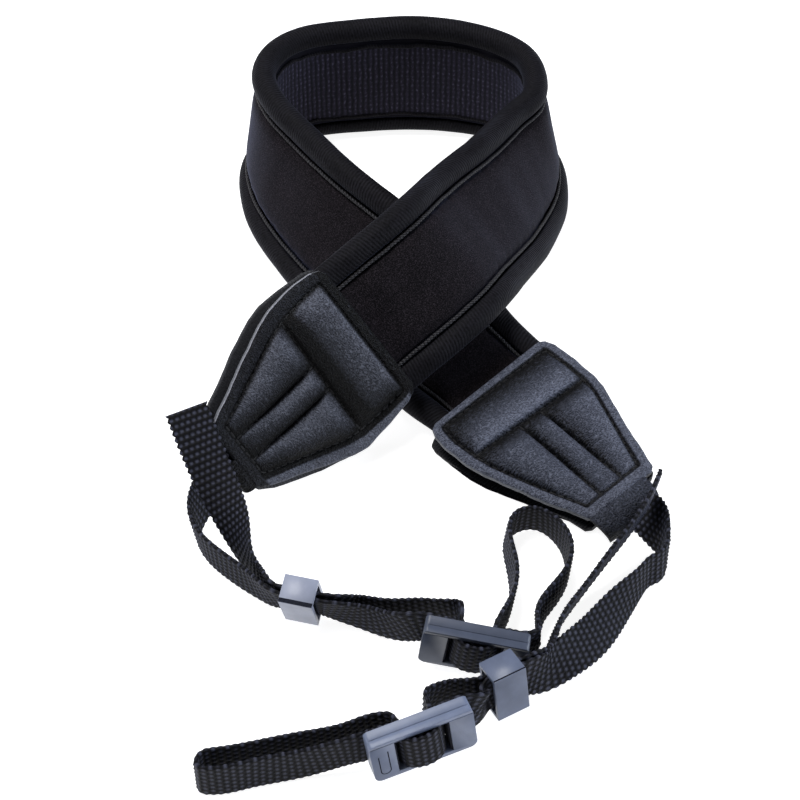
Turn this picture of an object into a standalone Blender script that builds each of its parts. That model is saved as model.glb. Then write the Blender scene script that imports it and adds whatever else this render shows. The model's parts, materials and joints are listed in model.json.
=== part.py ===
"""Camera neck strap: a padded neck band bent into a loop whose ends cross in front, a leather
patch on each end, and a narrow webbing on each patch with its keeper, slide buckle and camera loop.

Tables are in millimetres and are turned into metres as each mesh is made. +Z is up, the strap rests
on Z = 0, and +Y points from the crossed ends towards the back of the loop.
"""
import math

import bmesh
import bpy
import numpy as np
from mathutils import Matrix

MM = 0.001
GAP = 0.3                  # clearance between neighbouring pieces
LINING_GAP = 0.55          # the same between the lining and the twisted panel behind it
UP = np.array([0.0, 0.0, 1.0])
SHARP = math.radians(40)   # edges sharper than this stay edges in the shading
FINE = 4                   # points of a middle line for each section of its solid

# Neck band, across it: two rolled edges with the padded panel between them
BAND_WIDTH = 42.0
ROLL_RADIUS = 3.7
BAND_SPAN = BAND_WIDTH - 2 * ROLL_RADIUS      # between the centres of the rolled edges
OUTER_SEAM = 13.8          # from the band's middle to its seam, on the outer face
INNER_SEAM = 15.6          # the same on the inner face
SEAM_HEIGHT = 1.5          # half the padding's thickness at the seams
CROWN_HEIGHT = 2.7         # the same at its middle
CROWN_INSET, CROWN_FALL = 3.0, 0.2            # where the crown starts, from the seam, and its drop there
ROLL_SIDE = 0.48           # between the panel's slanted flank and the rolled edge
ROLL_ANGLES = (-15, 35, 90, 145, 195)
LINING_INSET = 0.6         # from the inner seam to the lining's border
LINING_EDGE, LINING_THICKNESS, LINING_SLOPE = 0.5, 1.1, 2.4
BAND_STEPS = 78            # sections of its free length
PANEL_TUCKS = (0, 8, 16, 24, 30)               # and where it is tucked under the patches
ROLL_TUCKS = (0, 7, 14)

# The neck band from its left patch, round the back of the loop, to its right patch.
# x, y: centre of the lower rolled edge; lift: height of that edge over the surface;
# roll: lean of the band, 0 standing on its lower edge, 90 lying with its outer face up.
BAND_COLUMNS = ("x", "y", "lift", "roll")
BAND_STATIONS = [
    (-35, -36.9, -5.5, 30),
    (-18, -22.2, 1.9, 33),
    (-0.4, -8.8, 11.4, 38),
    (14, 1.2, 18.4, 46),
    (23.2, 11.3, 20, 49),
    (32.1, 30.3, 14.8, 44),
    (39, 47.6, 8.5, 36),
    (44.5, 65, 3.4, 29),
    (47.3, 76.2, 1, 23),
    (48.2, 86, 0, 16),
    (47.5, 97, 0, 12),
    (42, 109.5, 0, 8),
    (30.5, 117.5, 0, 4),
    (16, 121.5, 0, 1),
    (0, 122.5, 0, 0),
    (-16, 121, 0, 1),
    (-31, 117.5, 0, 2),
    (-41.5, 109, 0, 5),
    (-46, 97, 0, 9),
    (-45.5, 84, 0, 15),
    (-43, 73, 0, 22),
    (-38, 61.5, 0, 27),
    (-30, 47, 0, 33),
    (-21, 33, 0, 42),
    (-10, 16, 0, 58),
    (1.5, -1.5, 0.2, 76),
    (11, -12, 0.6, 83),
    (29, -31.2, 0.1, 85),
    (47, -50.4, -0.6, 87),
]

# End patches: outline of one leather layer, from its wide edge to its tip
PATCH_COLUMNS = ("along", "half_width")
PATCH_OUTLINE = [
    (0, 18.5),
    (1, 20.4),
    (3.5, 21.3),
    (10, 21.5),
    (17, 21.2),
    (22, 20.2),
    (36, 15.4),
    (47, 11.6),
    (50, 10.6),
    (51, 9.0),
]
PATCH_LENGTH = 51.0
PATCH_THICKNESS = 1.5
PATCH_RIM = 3.0            # from the patch's border to its stitch line
PATCH_SEAM = 16.5          # from the wide edge to the seam across the patch
CHANNEL_HALF = 3.8         # half the width of the middle stitched channel
CHANNEL_END = 47.0         # where the stitched channels end, towards the tip
PUFF_HEIGHT = 2.4
PUFF_START, PUFF_FALL = 6.0, 16.0             # how fast the long channels fill, and empty again
# How far each layer reaches past that outline, on its lower and its upper side
REACH_COLUMNS = ("along", "front_lower", "front_upper", "back_lower", "back_upper")
PATCH_REACH = {
    "left": [(0, 0, 0, 0.9, 0.6), (8, 0.8, 1.3, 2.2, 1.4), (18, 2.3, 1.8, 4, 2.8), (32, 2, 1.6, 4.6, 3.8),
             (46, 1.2, 0.8, 3.7, 3), (51, 0.4, 0.4, 2, 1.4)],
    "right": [(0, 0, 0, 0.9, 0.9), (51, 0, 0, 0.9, 0.9)],
}
FRONT, BACK = (1, 2), (3, 4)                  # the columns of each layer
BED_START, BED_LENGTH = 14.0, 26.0            # where the two layers close in on the webbing
BACK_COLUMN = 4            # the front layer's back keeps every fourth column of its face
PINCH = 0.62               # the band's thickness under the patch's wide edge
PINCH_LENGTH = 8.0         # over which the free band swells to its full thickness
THINNING = (8.0, 22.0, 0.5)                   # the hidden padding's taper: start, length, how far
PATCH_ROWS = (0, 1, PATCH_RIM, 4.5, 9.75, 15, PATCH_SEAM, 18.5, 22, 28, 34, 40, 44, CHANNEL_END, 50,
              PATCH_LENGTH)

# Webbing and its hardware
WEBBING_WIDTH = 10.6
WEBBING_THICKNESS = 1.4
WEBBING_STEP = 2.0         # between its sections
SEWN_PLACES = (9, 4, 0)    # its sewn end's stations, from the patch's tip
LAYER = WEBBING_THICKNESS + GAP               # between two layers of webbing
KEEPER_SIZE = (8.6, 7.4, 13.8)                # along, through, across
KEEPER_WALL = 1.1
BUCKLE_SIZE = (25.5, 4.6, 13.8)
BUCKLE_WINDOW = 13.6       # opening for the webbing, along the buckle
BUCKLE_RAIL = 1.3
KEEPER_BEVEL, BUCKLE_BEVEL = 0.35, 0.9
BAR_HALF = 0.8             # half the width of the hidden middle bar
BAR_FRONT, BAR_BACK = 0.5, -1.1               # its faces, out from the buckle's middle
CUT_DEPTH = 20.0           # of a cutter that goes right through

# Hardware: its centre, the way it points in plan, how far it rises, and how far its top leans back
HARDWARE_COLUMNS = ("x", "y", "z", "heading", "pitch", "lean")
HARDWARE = {
    "left_keeper": (-24.2, -75.8, 7.5, -14, 0, -20),
    "left_buckle": (17.8, -91.2, 8.7, -8, -7, -4),
    "right_keeper": (24.8, -101.2, 7.5, 28, 3, 8),
    "right_buckle": (4.8, -117.3, 8.8, 20.5, 6, 3),
}

# Webbing through a buckle, in the buckle's own frame, for the layer that shows over the bar
WEAVE_COLUMNS = ("along", "out")
OUTER_WEAVE = [(11, -3.5), (8.6, -3.35), (7.2, -3.35), (6.2, -3.1), (5.7, -2.25), (5.45, -0.7),
               (4.9, 0.95), (3.65, 2.45), (1.9, 3.2), (0, 3.42)]
# and for the layer between it and the bar
INNER_WEAVE = [(4.4, -5.35), (4.1, -3.75), (3.75, -2.2), (3.45, -0.8), (2.9, 0.3), (2.0, 1.2),
               (1.0, 1.62), (0, 1.7)]

# Material slots: colour and roughness
MATERIALS = {
    "jersey": ((0.016, 0.016, 0.018), 0.8),
    "edge_jersey": ((0.02, 0.02, 0.023), 0.75),
    "grip_mesh": ((0.015, 0.017, 0.03), 0.9),
    "left_leather": ((0.022, 0.024, 0.03), 0.5),
    "right_leather": ((0.035, 0.038, 0.047), 0.5),
    "backing": ((0.018, 0.018, 0.022), 0.6),
    "webbing": ((0.02, 0.022, 0.028), 0.85),
    "hardware": ((0.07, 0.085, 0.12), 0.35),
}

# Free webbing. x, y: middle of the strip; lift: its lowest edge over the surface;
# roll: lean to the left of the way it runs, 0 standing on its edge, 90 lying flat.
WEBBING_COLUMNS = ("x", "y", "lift", "roll")
LEFT_TO_KEEPER = [(-51, -40.8, 1.4, -22), (-53, -48, 0, -12), (-50.6, -55.7, 0, -6),
                  (-44.4, -62.7, 0, -4), (-36, -69.8, 0, -8)]
LEFT_TO_BUCKLE = [(-11, -78.8, 0, -8), (-1.5, -83.2, 1.5, -4), (4.3, -85.8, 4.6, -4)]
LEFT_LOOP = [(31.8, -88.4, 1.4, -6), (33.3, -85.8, 0.5, 0), (34, -80, 0, 4), (37.8, -73, 0, 0),
             (41.8, -66, 0, -3), (42.7, -58, 0, -3), (39.7, -51, 0, 4), (34, -47.4, 0, 9), (28.9, -49.7, 0, 7),
             (27.6, -57.5, 0, 4), (28.6, -66, 0, 6), (27.8, -74, 0, 6), (25.2, -81, 0.7, 4)]
LEFT_BACK = [(14.6, -82.6, 3, 0), (12.4, -80.1, 2, 0), (6.5, -78.8, 1, 0), (-3, -77.8, 0, 4),
             (-12, -76, 0, 8)]
LEFT_TAIL = [(-33, -69.5, 0.5, 8), (-37.4, -63.5, 1, 0), (-41.3, -54.7, 3.8, -28), (-45.6, -46, 9.2, -52),
             (-50.2, -38.3, 17.3, -70), (-54.8, -29.6, 25.6, -78)]
RIGHT_TO_KEEPER = [(60.5, -39.9, 2.7, 84), (63.2, -44, 1.4, 62), (66, -49.8, 0, 32), (67.5, -56, 0, 6),
                   (67.2, -60.5, 0, -2), (65.3, -63.4, 0, -6), (62.8, -65, 0, -5), (60.5, -67.8, 0, -6),
                   (58, -71.1, 0, -13), (54, -76, 0, -27), (47.2, -84.6, 0, -42), (39.7, -91.8, 0, -34),
                   (35.4, -95.6, 0, -18)]
RIGHT_TO_BUCKLE = [(19.4, -106.8, 1.6, 0), (17.3, -109.1, 3.4, 2)]
RIGHT_LOOP = [(-10.4, -119, 2, 0), (-23, -121.7, 0, 0), (-34.5, -124.4, 0, 0), (-43, -126.2, 0, 0),
              (-46.4, -125.2, 0, 0), (-46, -122.6, 0, 0), (-42, -121, 0, 0), (-34, -119.4, 0, 0),
              (-23, -116.8, 0, 0), (-12, -114.4, 0.5, 0), (-4.6, -112.8, 2, 0)]
RIGHT_BACK = [(5.9, -108.6, 3.2, 0), (6.9, -105.9, 2.5, 0), (12, -103.2, 1.5, 0)]
RIGHT_TAIL = [(34.6, -92.6, 0, -8), (38.2, -83.3, 0, -12), (44, -73.6, 0.5, -14), (51.4, -64, 3, -13),
              (59, -54.6, 6, -12), (63.9, -46.9, 8.2, -10), (66, -42.2, 9.2, -9)]


def unit(vectors):
    return vectors / np.linalg.norm(vectors, axis=-1, keepdims=True)


def spline(rows, knots, places):
    """A natural cubic spline through the rows, whose places are the knots, read at other places."""
    table = np.array(rows, float)
    gaps = np.diff(knots)
    count = len(table)
    system = np.eye(count)
    right = np.zeros(table.shape)
    slopes = np.diff(table, axis=0) / gaps[:, None]
    for i in range(1, count - 1):
        system[i, i - 1:i + 2] = gaps[i - 1], 2 * (gaps[i - 1] + gaps[i]), gaps[i]
        right[i] = 6 * (slopes[i] - slopes[i - 1])
    bend = np.linalg.solve(system, right)
    spans = np.clip(np.searchsorted(knots, places) - 1, 0, count - 2)
    after = (places - knots[spans])[:, None]
    before = (knots[spans + 1] - places)[:, None]
    size = gaps[spans][:, None]
    bend_low, bend_high = bend[spans], bend[spans + 1]
    return ((bend_low * before ** 3 + bend_high * after ** 3) / (6 * size)
            + (table[spans] / size - bend_low * size / 6) * before
            + (table[spans + 1] / size - bend_high * size / 6) * after)


def chords(points):
    """Distance along a row of points, from the first one."""
    steps = np.linalg.norm(np.diff(points, axis=0), axis=1)
    return np.concatenate(([0.0], np.cumsum(steps)))


def leaning(along, roll):
    """The way across a strip that runs along, standing on its edge and leaning left by roll."""
    lean = np.radians(roll)[:, None]
    left = unit(np.cross(UP, along))
    across = np.cos(lean) * UP + np.sin(lean) * left
    return unit(across - along * np.sum(across * along, axis=1, keepdims=True))


class Ribbon:
    """A strip in space: centre line, and at each place the ways along, across and out of it."""

    def __init__(self, points, across):
        self.points = points
        self.along = unit(np.gradient(points, axis=0))
        self.across = unit(across - self.along * np.sum(across * self.along, axis=1, keepdims=True))
        self.out = np.cross(self.along, self.across)
        self.lengths = chords(points)
        self.length = self.lengths[-1]

    def read(self, field, place):
        return np.array([np.interp(place, self.lengths, field[:, axis]) for axis in range(3)])

    def at(self, place, across=0.0, out=0.0):
        """The point at a length along the strip, and at distances across and out of it."""
        return (self.read(self.points, place) + self.read(self.across, place) * across
                + self.read(self.out, place) * out)


def neck_ribbon():
    """The neck band's middle line, from the table of its lower edge."""
    table = np.array(BAND_STATIONS, float)
    knots = chords(table[:, :2])
    x, y, lift, roll = spline(table, knots, np.linspace(0.0, knots[-1], FINE * BAND_STEPS + 1)).T
    lower = np.stack([x, y, lift + ROLL_RADIUS], axis=1)
    across = leaning(unit(np.gradient(lower, axis=0)), roll)
    return Ribbon(lower + across * BAND_SPAN / 2, across)


class Hardware:
    """The own frame of a keeper or buckle: along it, across its webbing, and out to the viewer."""

    def __init__(self, name):
        x, y, z, heading, pitch, lean = HARDWARE[name]
        heading, pitch, lean = math.radians(heading), math.radians(pitch), math.radians(lean)
        self.centre = np.array([x, y, z])
        self.along = np.array([math.cos(heading) * math.cos(pitch), math.sin(heading) * math.cos(pitch),
                               math.sin(pitch)])
        upright = unit(UP - self.along * np.dot(UP, self.along))
        back = np.cross(upright, self.along)
        self.across = math.cos(lean) * upright + math.sin(lean) * back
        self.out = np.cross(self.along, self.across)

    def point(self, along, out):
        return self.centre + self.along * along + self.out * out

    def matrix(self):
        """Places a block: its X runs along, its Y away from the viewer, and its Z across."""
        columns = (self.along, -self.out, self.across, self.centre * MM)
        return Matrix([[column[i] for column in columns] for i in range(3)] + [(0, 0, 0, 1)])


def is_free(station):
    """Whether a station is a row of a webbing table, and not a fixed (point, across) pair."""
    return len(station) == len(WEBBING_COLUMNS)


def free_point(x, y, lift, roll):
    """The middle of a webbing whose lowest edge is at the lift."""
    lean = math.radians(roll)
    height = WEBBING_WIDTH / 2 * abs(math.cos(lean)) + WEBBING_THICKNESS / 2 * abs(math.sin(lean))
    return x, y, lift + height


def webbing_ribbon(stations):
    """A webbing's middle line through fixed stations (point, across) and free ones (x, y, lift, roll)."""
    points = np.array([free_point(*row) if is_free(row) else row[0] for row in stations], float)
    rolls = np.array([row[3] if is_free(row) else 0.0 for row in stations])
    across = leaning(unit(np.gradient(points, axis=0)), rolls)
    for i, row in enumerate(stations):
        if not is_free(row):
            across[i] = row[1]
    knots = chords(points)
    places = np.linspace(0.0, knots[-1], int(knots[-1] / WEBBING_STEP * FINE))
    rows = spline(np.hstack([points, across]), knots, places)
    return Ribbon(rows[:, :3], rows[:, 3:])


def sewn_stations(neck, side):
    """Fixed stations of the webbing's sewn end, between the two layers of its patch."""
    places = [place if side == "left" else neck.length - place for place in SEWN_PLACES]
    return [(neck.at(place), neck.read(neck.across, place)) for place in places]


def threaded(name, weave, direction):
    """Fixed stations through a piece of hardware, run in its own direction or the other way."""
    held = Hardware(name)
    return [(held.point(along, out), held.across) for along, out in weave[::direction]]


def keeper_weave(out):
    """Straight through a keeper, and a little past both of its mouths."""
    reach = KEEPER_SIZE[0] / 2 + 1
    return [(-reach, out), (0, out), (reach, out)]


def buckle_weave(half):
    """Both halves of a weave whose table runs from the right end to the bar."""
    left = [(-along, out) for along, out in half]
    return left + half[-2::-1]


def left_webbing(neck):
    """Patch, keeper, over the buckle's bar, camera loop, back under the first layer, free tail."""
    return (sewn_stations(neck, "left")
            + LEFT_TO_KEEPER
            + threaded("left_keeper", keeper_weave(LAYER / 2), 1)
            + LEFT_TO_BUCKLE
            + threaded("left_buckle", buckle_weave(OUTER_WEAVE), 1)
            + LEFT_LOOP
            + threaded("left_buckle", buckle_weave(INNER_WEAVE), -1)
            + LEFT_BACK
            + threaded("left_keeper", keeper_weave(-LAYER / 2), -1)
            + LEFT_TAIL)


def right_webbing(neck):
    """The same on the right, whose webbing runs through its hardware from right to left."""
    return (sewn_stations(neck, "right")
            + RIGHT_TO_KEEPER
            + threaded("right_keeper", keeper_weave(LAYER / 2), -1)
            + RIGHT_TO_BUCKLE
            + threaded("right_buckle", buckle_weave(OUTER_WEAVE), -1)
            + RIGHT_LOOP
            + threaded("right_buckle", buckle_weave(INNER_WEAVE), 1)
            + RIGHT_BACK
            + threaded("right_keeper", keeper_weave(-LAYER / 2), 1)
            + RIGHT_TAIL)


class Model:
    """The collections, the materials and the empty that holds every piece."""

    def __init__(self):
        self.strap = bpy.data.collections.new("camera_neck_strap")
        self.cutters = bpy.data.collections.new("cutters")
        for group in (self.strap, self.cutters):
            bpy.context.scene.collection.children.link(group)
        self.base = bpy.data.objects.new("strap_base", None)
        self.strap.objects.link(self.base)
        self.materials = {slot: make_material(slot, *look) for slot, look in MATERIALS.items()}

    def add(self, name, data, slot=None):
        """An object in the strap's collection, or in the cutters' where it has no material slot."""
        piece = bpy.data.objects.new(name, data)
        piece.parent = self.base
        if slot:
            data.materials.append(self.materials[slot])
            self.strap.objects.link(piece)
        else:
            piece.hide_render = True
            piece.display_type = "WIRE"
            self.cutters.objects.link(piece)
        return piece

    def loft(self, name, rings, slot):
        """A closed solid through rings of points, each ring with the same number of points."""
        mesh = bmesh.new()
        loops = [[mesh.verts.new(point * MM) for point in ring] for ring in rings]
        sides = len(loops[0])
        for first, second in zip(loops, loops[1:]):
            for i in range(sides):
                j = (i + 1) % sides
                mesh.faces.new((first[i], first[j], second[j], second[i]))
        mesh.faces.new(loops[0][::-1])
        mesh.faces.new(loops[-1])
        bmesh.ops.recalc_face_normals(mesh, faces=mesh.faces)
        data = bpy.data.meshes.new(name)
        mesh.to_mesh(data)
        mesh.free()
        data.shade_smooth()
        data.set_sharp_from_angle(angle=SHARP)
        return self.add(name, data, slot)

    def block(self, name, size, matrix, slot=None, offset=(0, 0, 0)):
        """A box of a size, at an offset in the frame of the matrix."""
        mesh = bmesh.new()
        bmesh.ops.create_cube(mesh, size=1)
        bmesh.ops.scale(mesh, vec=[MM * length for length in size], verts=mesh.verts)
        bmesh.ops.translate(mesh, vec=[MM * length for length in offset], verts=mesh.verts)
        data = bpy.data.meshes.new(name)
        mesh.to_mesh(data)
        mesh.free()
        box = self.add(name, data, slot)
        box.matrix_local = matrix
        return box

    def centre(self):
        """Move the empty so that the middle of the strap's floor rectangle is the origin."""
        bpy.context.view_layer.update()
        depsgraph = bpy.context.evaluated_depsgraph_get()
        corners = []
        for piece in self.strap.objects:
            if piece.type == "MESH":
                evaluated = piece.evaluated_get(depsgraph)
                corners += [piece.matrix_world @ vertex.co for vertex in evaluated.to_mesh().vertices]
                evaluated.to_mesh_clear()
        low = [min(corner[i] for corner in corners) for i in range(3)]
        high = [max(corner[i] for corner in corners) for i in range(3)]
        self.base.location = (-(low[0] + high[0]) / 2, -(low[1] + high[1]) / 2, -low[2])


def make_material(slot, colour, roughness):
    made = bpy.data.materials.new(slot)
    made.use_nodes = True
    shader = made.node_tree.nodes["Principled BSDF"]
    shader.inputs["Base Color"].default_value = (*colour, 1.0)
    shader.inputs["Roughness"].default_value = roughness
    shader.inputs["Metallic"].default_value = 0.0
    return made


def smooth(value):
    """A soft step from 0 to 1."""
    value = min(max(value, 0.0), 1.0)
    return value * value * (3 - 2 * value)


def mirrored(half):
    """An outline that is symmetric across the band, from its upper half, read from the middle out."""
    return [(-across, out) for across, out in half[::-1]] + [row for row in half if row[0] > 0]


def pinch(neck, place):
    """The band's thickness: whole in its free length, and pressed flatter under the patches."""
    start, length, depth = THINNING
    beyond = PATCH_LENGTH - min(place, neck.length - place)
    pressed = PINCH * (1 - depth * smooth((beyond - start) / length))
    return pressed + (1 - pressed) * smooth((-beyond - 1) / PINCH_LENGTH)


def band_rings(neck, outline, tucks):
    """The outline all along the band, and where it is tucked under the patches' wide edges."""
    body = np.linspace(PATCH_LENGTH + 1, neck.length - PATCH_LENGTH - 1, BAND_STEPS + 1)
    starts = [PATCH_LENGTH - tuck for tuck in tucks[::-1]]
    ends = [neck.length - place for place in starts[::-1]]
    return [[neck.at(place, across, out * pinch(neck, place)) for across, out in outline]
            for place in (*starts, *body, *ends)]


def neck_pad(model, neck):
    """The padded panel: a low crown outside, flat inside, and flanks that slant out to the lining."""
    shoulder = (OUTER_SEAM - CROWN_INSET, CROWN_HEIGHT - CROWN_FALL)
    outer = [(0, CROWN_HEIGHT), shoulder, (OUTER_SEAM, SEAM_HEIGHT)]
    inner = [(0, -SEAM_HEIGHT), (INNER_SEAM / 2, -SEAM_HEIGHT), (INNER_SEAM, -SEAM_HEIGHT)]
    outline = mirrored(outer) + mirrored(inner)[::-1]
    model.loft("neck_pad", band_rings(neck, outline, PANEL_TUCKS), "jersey")


def grip_lining(model, neck):
    """The thin lining on the panel's inner face, with slanted borders."""
    near = -SEAM_HEIGHT - LINING_GAP
    border = INNER_SEAM - LINING_INSET
    backed = [(0, near), (INNER_SEAM / 2, near), (border, near)]
    bare = [(border - LINING_SLOPE, near - LINING_THICKNESS), (border, near - LINING_EDGE)]
    outline = mirrored(backed) + mirrored(bare)[::-1]
    model.loft("grip_lining", band_rings(neck, outline, ()), "grip_mesh")


def edge_binding(model, neck, name, side):
    """A rolled edge: an arc, and a straight flank that follows the panel's slanted one."""
    flank = [(INNER_SEAM + ROLL_SIDE, -SEAM_HEIGHT), (OUTER_SEAM + ROLL_SIDE, SEAM_HEIGHT)]
    arc = [(BAND_SPAN / 2 + ROLL_RADIUS * math.sin(turn), ROLL_RADIUS * math.cos(turn))
           for turn in np.radians(ROLL_ANGLES)]
    outline = [(side * across, out) for across, out in flank + arc]
    model.loft(name, band_rings(neck, outline, ROLL_TUCKS), "edge_jersey")


def half_width(along):
    """Half the patch's width, at a distance from its wide edge."""
    table = np.array(PATCH_OUTLINE, float)
    return float(np.interp(along, table[:, 0], table[:, 1]))


def arch(place, middle, reach):
    """A round bulge of height 1 over the middle, and 0 past its reach."""
    return math.sqrt(max(1 - ((place - middle) / reach) ** 2, 0.0))


def puff(along, across, half):
    """Height of the stitched padding over the patch: one channel across it, three along it."""
    inner = half - PATCH_RIM
    if abs(across) >= inner or not PATCH_RIM < along < CHANNEL_END:
        return 0.0
    if along < PATCH_SEAM:
        bulge = arch(along, (PATCH_RIM + PATCH_SEAM) / 2, (PATCH_SEAM - PATCH_RIM) / 2)
        return PUFF_HEIGHT * bulge * (1 - (across / inner) ** 6)
    if abs(across) < CHANNEL_HALF:
        bulge = arch(across, 0, CHANNEL_HALF)
    else:
        bulge = arch(abs(across), (CHANNEL_HALF + inner) / 2, (inner - CHANNEL_HALF) / 2)
    filling = smooth((along - PATCH_SEAM) / PUFF_START)
    emptying = smooth((CHANNEL_END - along) / PUFF_FALL)
    return PUFF_HEIGHT * bulge * filling * emptying


def borders(along, side, layer):
    """The lower and upper border of one layer of a patch."""
    table = np.array(PATCH_REACH[side], float)
    low, high = (float(np.interp(along, table[:, 0], table[:, column])) for column in layer)
    half = half_width(along)
    return -half - low, half + high


def patch_columns(along, side):
    """Places across a patch's front: its border, its stitch line, and the stitched channels."""
    low, high = borders(along, side, FRONT)
    inner = half_width(along) - PATCH_RIM
    channel = [CHANNEL_HALF + (inner - CHANNEL_HALF) * part for part in (0.9, 0.5, 0.1)]
    side = [inner, *channel, CHANNEL_HALF]
    return [low] + [-across for across in side] + [0.0] + side[::-1] + [high]


def bed(along):
    """Half the room between a patch's two layers, for the band and then for the webbing."""
    band = ROLL_RADIUS * PINCH + GAP
    sewn = WEBBING_THICKNESS / 2 + GAP
    return sewn + (band - sewn) * (1 - smooth((along - BED_START) / BED_LENGTH))


def patch(model, neck, side):
    """The leather patch on one end of the band: a quilted front layer and a plain back layer."""
    front, back = [], []
    for along in PATCH_ROWS:
        place = PATCH_LENGTH - along if side == "left" else neck.length - PATCH_LENGTH + along
        half = half_width(along)
        columns = patch_columns(along, side)
        near, far = bed(along), bed(along) + PATCH_THICKNESS
        face = [neck.at(place, across, far + puff(along, across, half)) for across in columns]
        front.append(face + [neck.at(place, across, near) for across in columns[::-BACK_COLUMN]])
        low, high = borders(along, side, BACK)
        corners = [(low, -near), (0, -near), (high, -near), (high, -far), (0, -far), (low, -far)]
        back.append([neck.at(place, across, out) for across, out in corners])
    model.loft(side + "_patch_front", front, side + "_leather")
    model.loft(side + "_patch_back", back, "backing")


def webbing(model, name, stations):
    """One flat strip along its whole way."""
    ribbon = webbing_ribbon(stations)
    half, thick = WEBBING_WIDTH / 2, WEBBING_THICKNESS / 2
    outline = [(-half, -thick), (half, -thick), (half, thick), (-half, thick)]
    places = np.linspace(0, ribbon.length, int(ribbon.length / WEBBING_STEP))
    rings = [[ribbon.at(place, across, out) for across, out in outline] for place in places]
    model.loft(name, rings, "webbing")


def bevel(block, width, segments):
    """Round off a block's edges."""
    rounded = block.modifiers.new("rounded", "BEVEL")
    rounded.width = width * MM
    rounded.segments = segments
    rounded.limit_method = "ANGLE"


def cut(block, cutter):
    """Take the cutter's room out of the block."""
    hole = block.modifiers.new(cutter.name, "BOOLEAN")
    hole.operation = "DIFFERENCE"
    hole.solver = "EXACT"
    hole.object = cutter


def keeper(model, name):
    """A short rectangular tube that holds two layers of webbing together."""
    matrix = Hardware(name).matrix()
    block = model.block(name, KEEPER_SIZE, matrix, "hardware")
    bevel(block, KEEPER_BEVEL, 1)
    _, through, tall = KEEPER_SIZE
    hollow = (CUT_DEPTH, through - 2 * KEEPER_WALL, tall - 2 * KEEPER_WALL)
    cut(block, model.block(name + "_hollow", hollow, matrix))


def buckle(model, name):
    """A flat moulded slide: two end plates and two rails round a window with a bar across it."""
    matrix = Hardware(name).matrix()
    block = model.block(name, BUCKLE_SIZE, matrix, "hardware")
    bevel(block, BUCKLE_BEVEL, 2)
    tall = BUCKLE_SIZE[2] - 2 * BUCKLE_RAIL
    slot = BUCKLE_WINDOW / 2 - BAR_HALF
    for side, label in ((-1, "_left_slot"), (1, "_right_slot")):
        offset = (side * (BAR_HALF + slot / 2), 0, 0)
        cut(block, model.block(name + label, (slot, CUT_DEPTH, tall), matrix, offset=offset))
    spared = (4 * BAR_HALF, CUT_DEPTH, tall)
    for out, side, label in ((BAR_FRONT, -1, "_bar_front"), (BAR_BACK, 1, "_bar_back")):
        offset = (0, -out + side * CUT_DEPTH / 2, 0)
        cut(block, model.block(name + label, spared, matrix, offset=offset))


def main():
    for old in list(bpy.data.objects):
        bpy.data.objects.remove(old)
    model = Model()
    neck = neck_ribbon()
    neck_pad(model, neck)
    edge_binding(model, neck, "edge_binding_upper", 1)
    edge_binding(model, neck, "edge_binding_lower", -1)
    grip_lining(model, neck)
    for side in ("left", "right"):
        patch(model, neck, side)
        keeper(model, side + "_keeper")
        buckle(model, side + "_buckle")
    webbing(model, "left_webbing", left_webbing(neck))
    webbing(model, "right_webbing", right_webbing(neck))
    model.centre()


main()
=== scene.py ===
"""The looks of a camera neck strap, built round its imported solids.

The tables repeat the strap's own sizes and routes, in millimetres. `place` is a distance along a
strip, `across` one over its width and `out` one away from its face. On a patch, `along` runs from
its wide edge to its tip. Pieces are made in metres.
"""
import json
import math

import bpy
import numpy as np
from mathutils import Matrix, Vector

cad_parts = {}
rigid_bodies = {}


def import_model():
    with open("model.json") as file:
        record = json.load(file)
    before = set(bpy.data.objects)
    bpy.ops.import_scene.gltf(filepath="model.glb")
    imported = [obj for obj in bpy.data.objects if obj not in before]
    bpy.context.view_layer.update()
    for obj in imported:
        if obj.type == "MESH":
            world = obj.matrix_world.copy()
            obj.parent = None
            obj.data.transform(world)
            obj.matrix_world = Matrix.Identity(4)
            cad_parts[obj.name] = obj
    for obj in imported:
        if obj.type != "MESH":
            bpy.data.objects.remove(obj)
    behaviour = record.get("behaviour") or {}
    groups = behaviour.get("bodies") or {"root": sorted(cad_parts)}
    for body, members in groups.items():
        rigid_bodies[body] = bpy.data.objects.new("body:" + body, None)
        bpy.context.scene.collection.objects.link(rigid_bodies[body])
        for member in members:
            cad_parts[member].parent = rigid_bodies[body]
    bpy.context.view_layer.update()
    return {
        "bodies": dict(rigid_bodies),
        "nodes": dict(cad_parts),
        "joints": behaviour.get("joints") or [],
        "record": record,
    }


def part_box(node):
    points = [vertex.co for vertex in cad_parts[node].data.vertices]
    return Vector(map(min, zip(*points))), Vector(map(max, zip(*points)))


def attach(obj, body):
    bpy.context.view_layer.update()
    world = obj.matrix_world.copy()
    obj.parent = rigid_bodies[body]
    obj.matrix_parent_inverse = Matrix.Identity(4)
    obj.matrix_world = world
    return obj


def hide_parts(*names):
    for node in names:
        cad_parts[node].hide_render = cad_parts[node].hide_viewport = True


MM = 0.001
TURN = 2 * math.pi
UP = np.array([0.0, 0.0, 1.0])
FINE = 16  # points of a middle line for each step of its table below
GAP = 0.3  # between neighbouring pieces
LINING_GAP = 0.55  # between the lining and the panel

# Neck band, across it: two rolled edges with the padded panel between them
BAND_WIDTH = 42.0
ROLL_RADIUS = 3.7
BAND_SPAN = BAND_WIDTH - 2 * ROLL_RADIUS  # between the centres of the rolled edges
INNER_SEAM = 15.6  # from the band's middle to its seam, on the inner face
SEAM_HEIGHT = 1.5  # half the padding's thickness at the seams
LINING_THICKNESS = 1.1
BAND_STEPS = 78  # sections over its free length
PINCH = 0.62  # the band's thickness under a patch's wide edge
PINCH_LENGTH = 8.0  # over which the free band swells to its full thickness
THINNING = (8.0, 22.0, 0.5)  # the hidden padding's taper: start, length, how far

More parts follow.
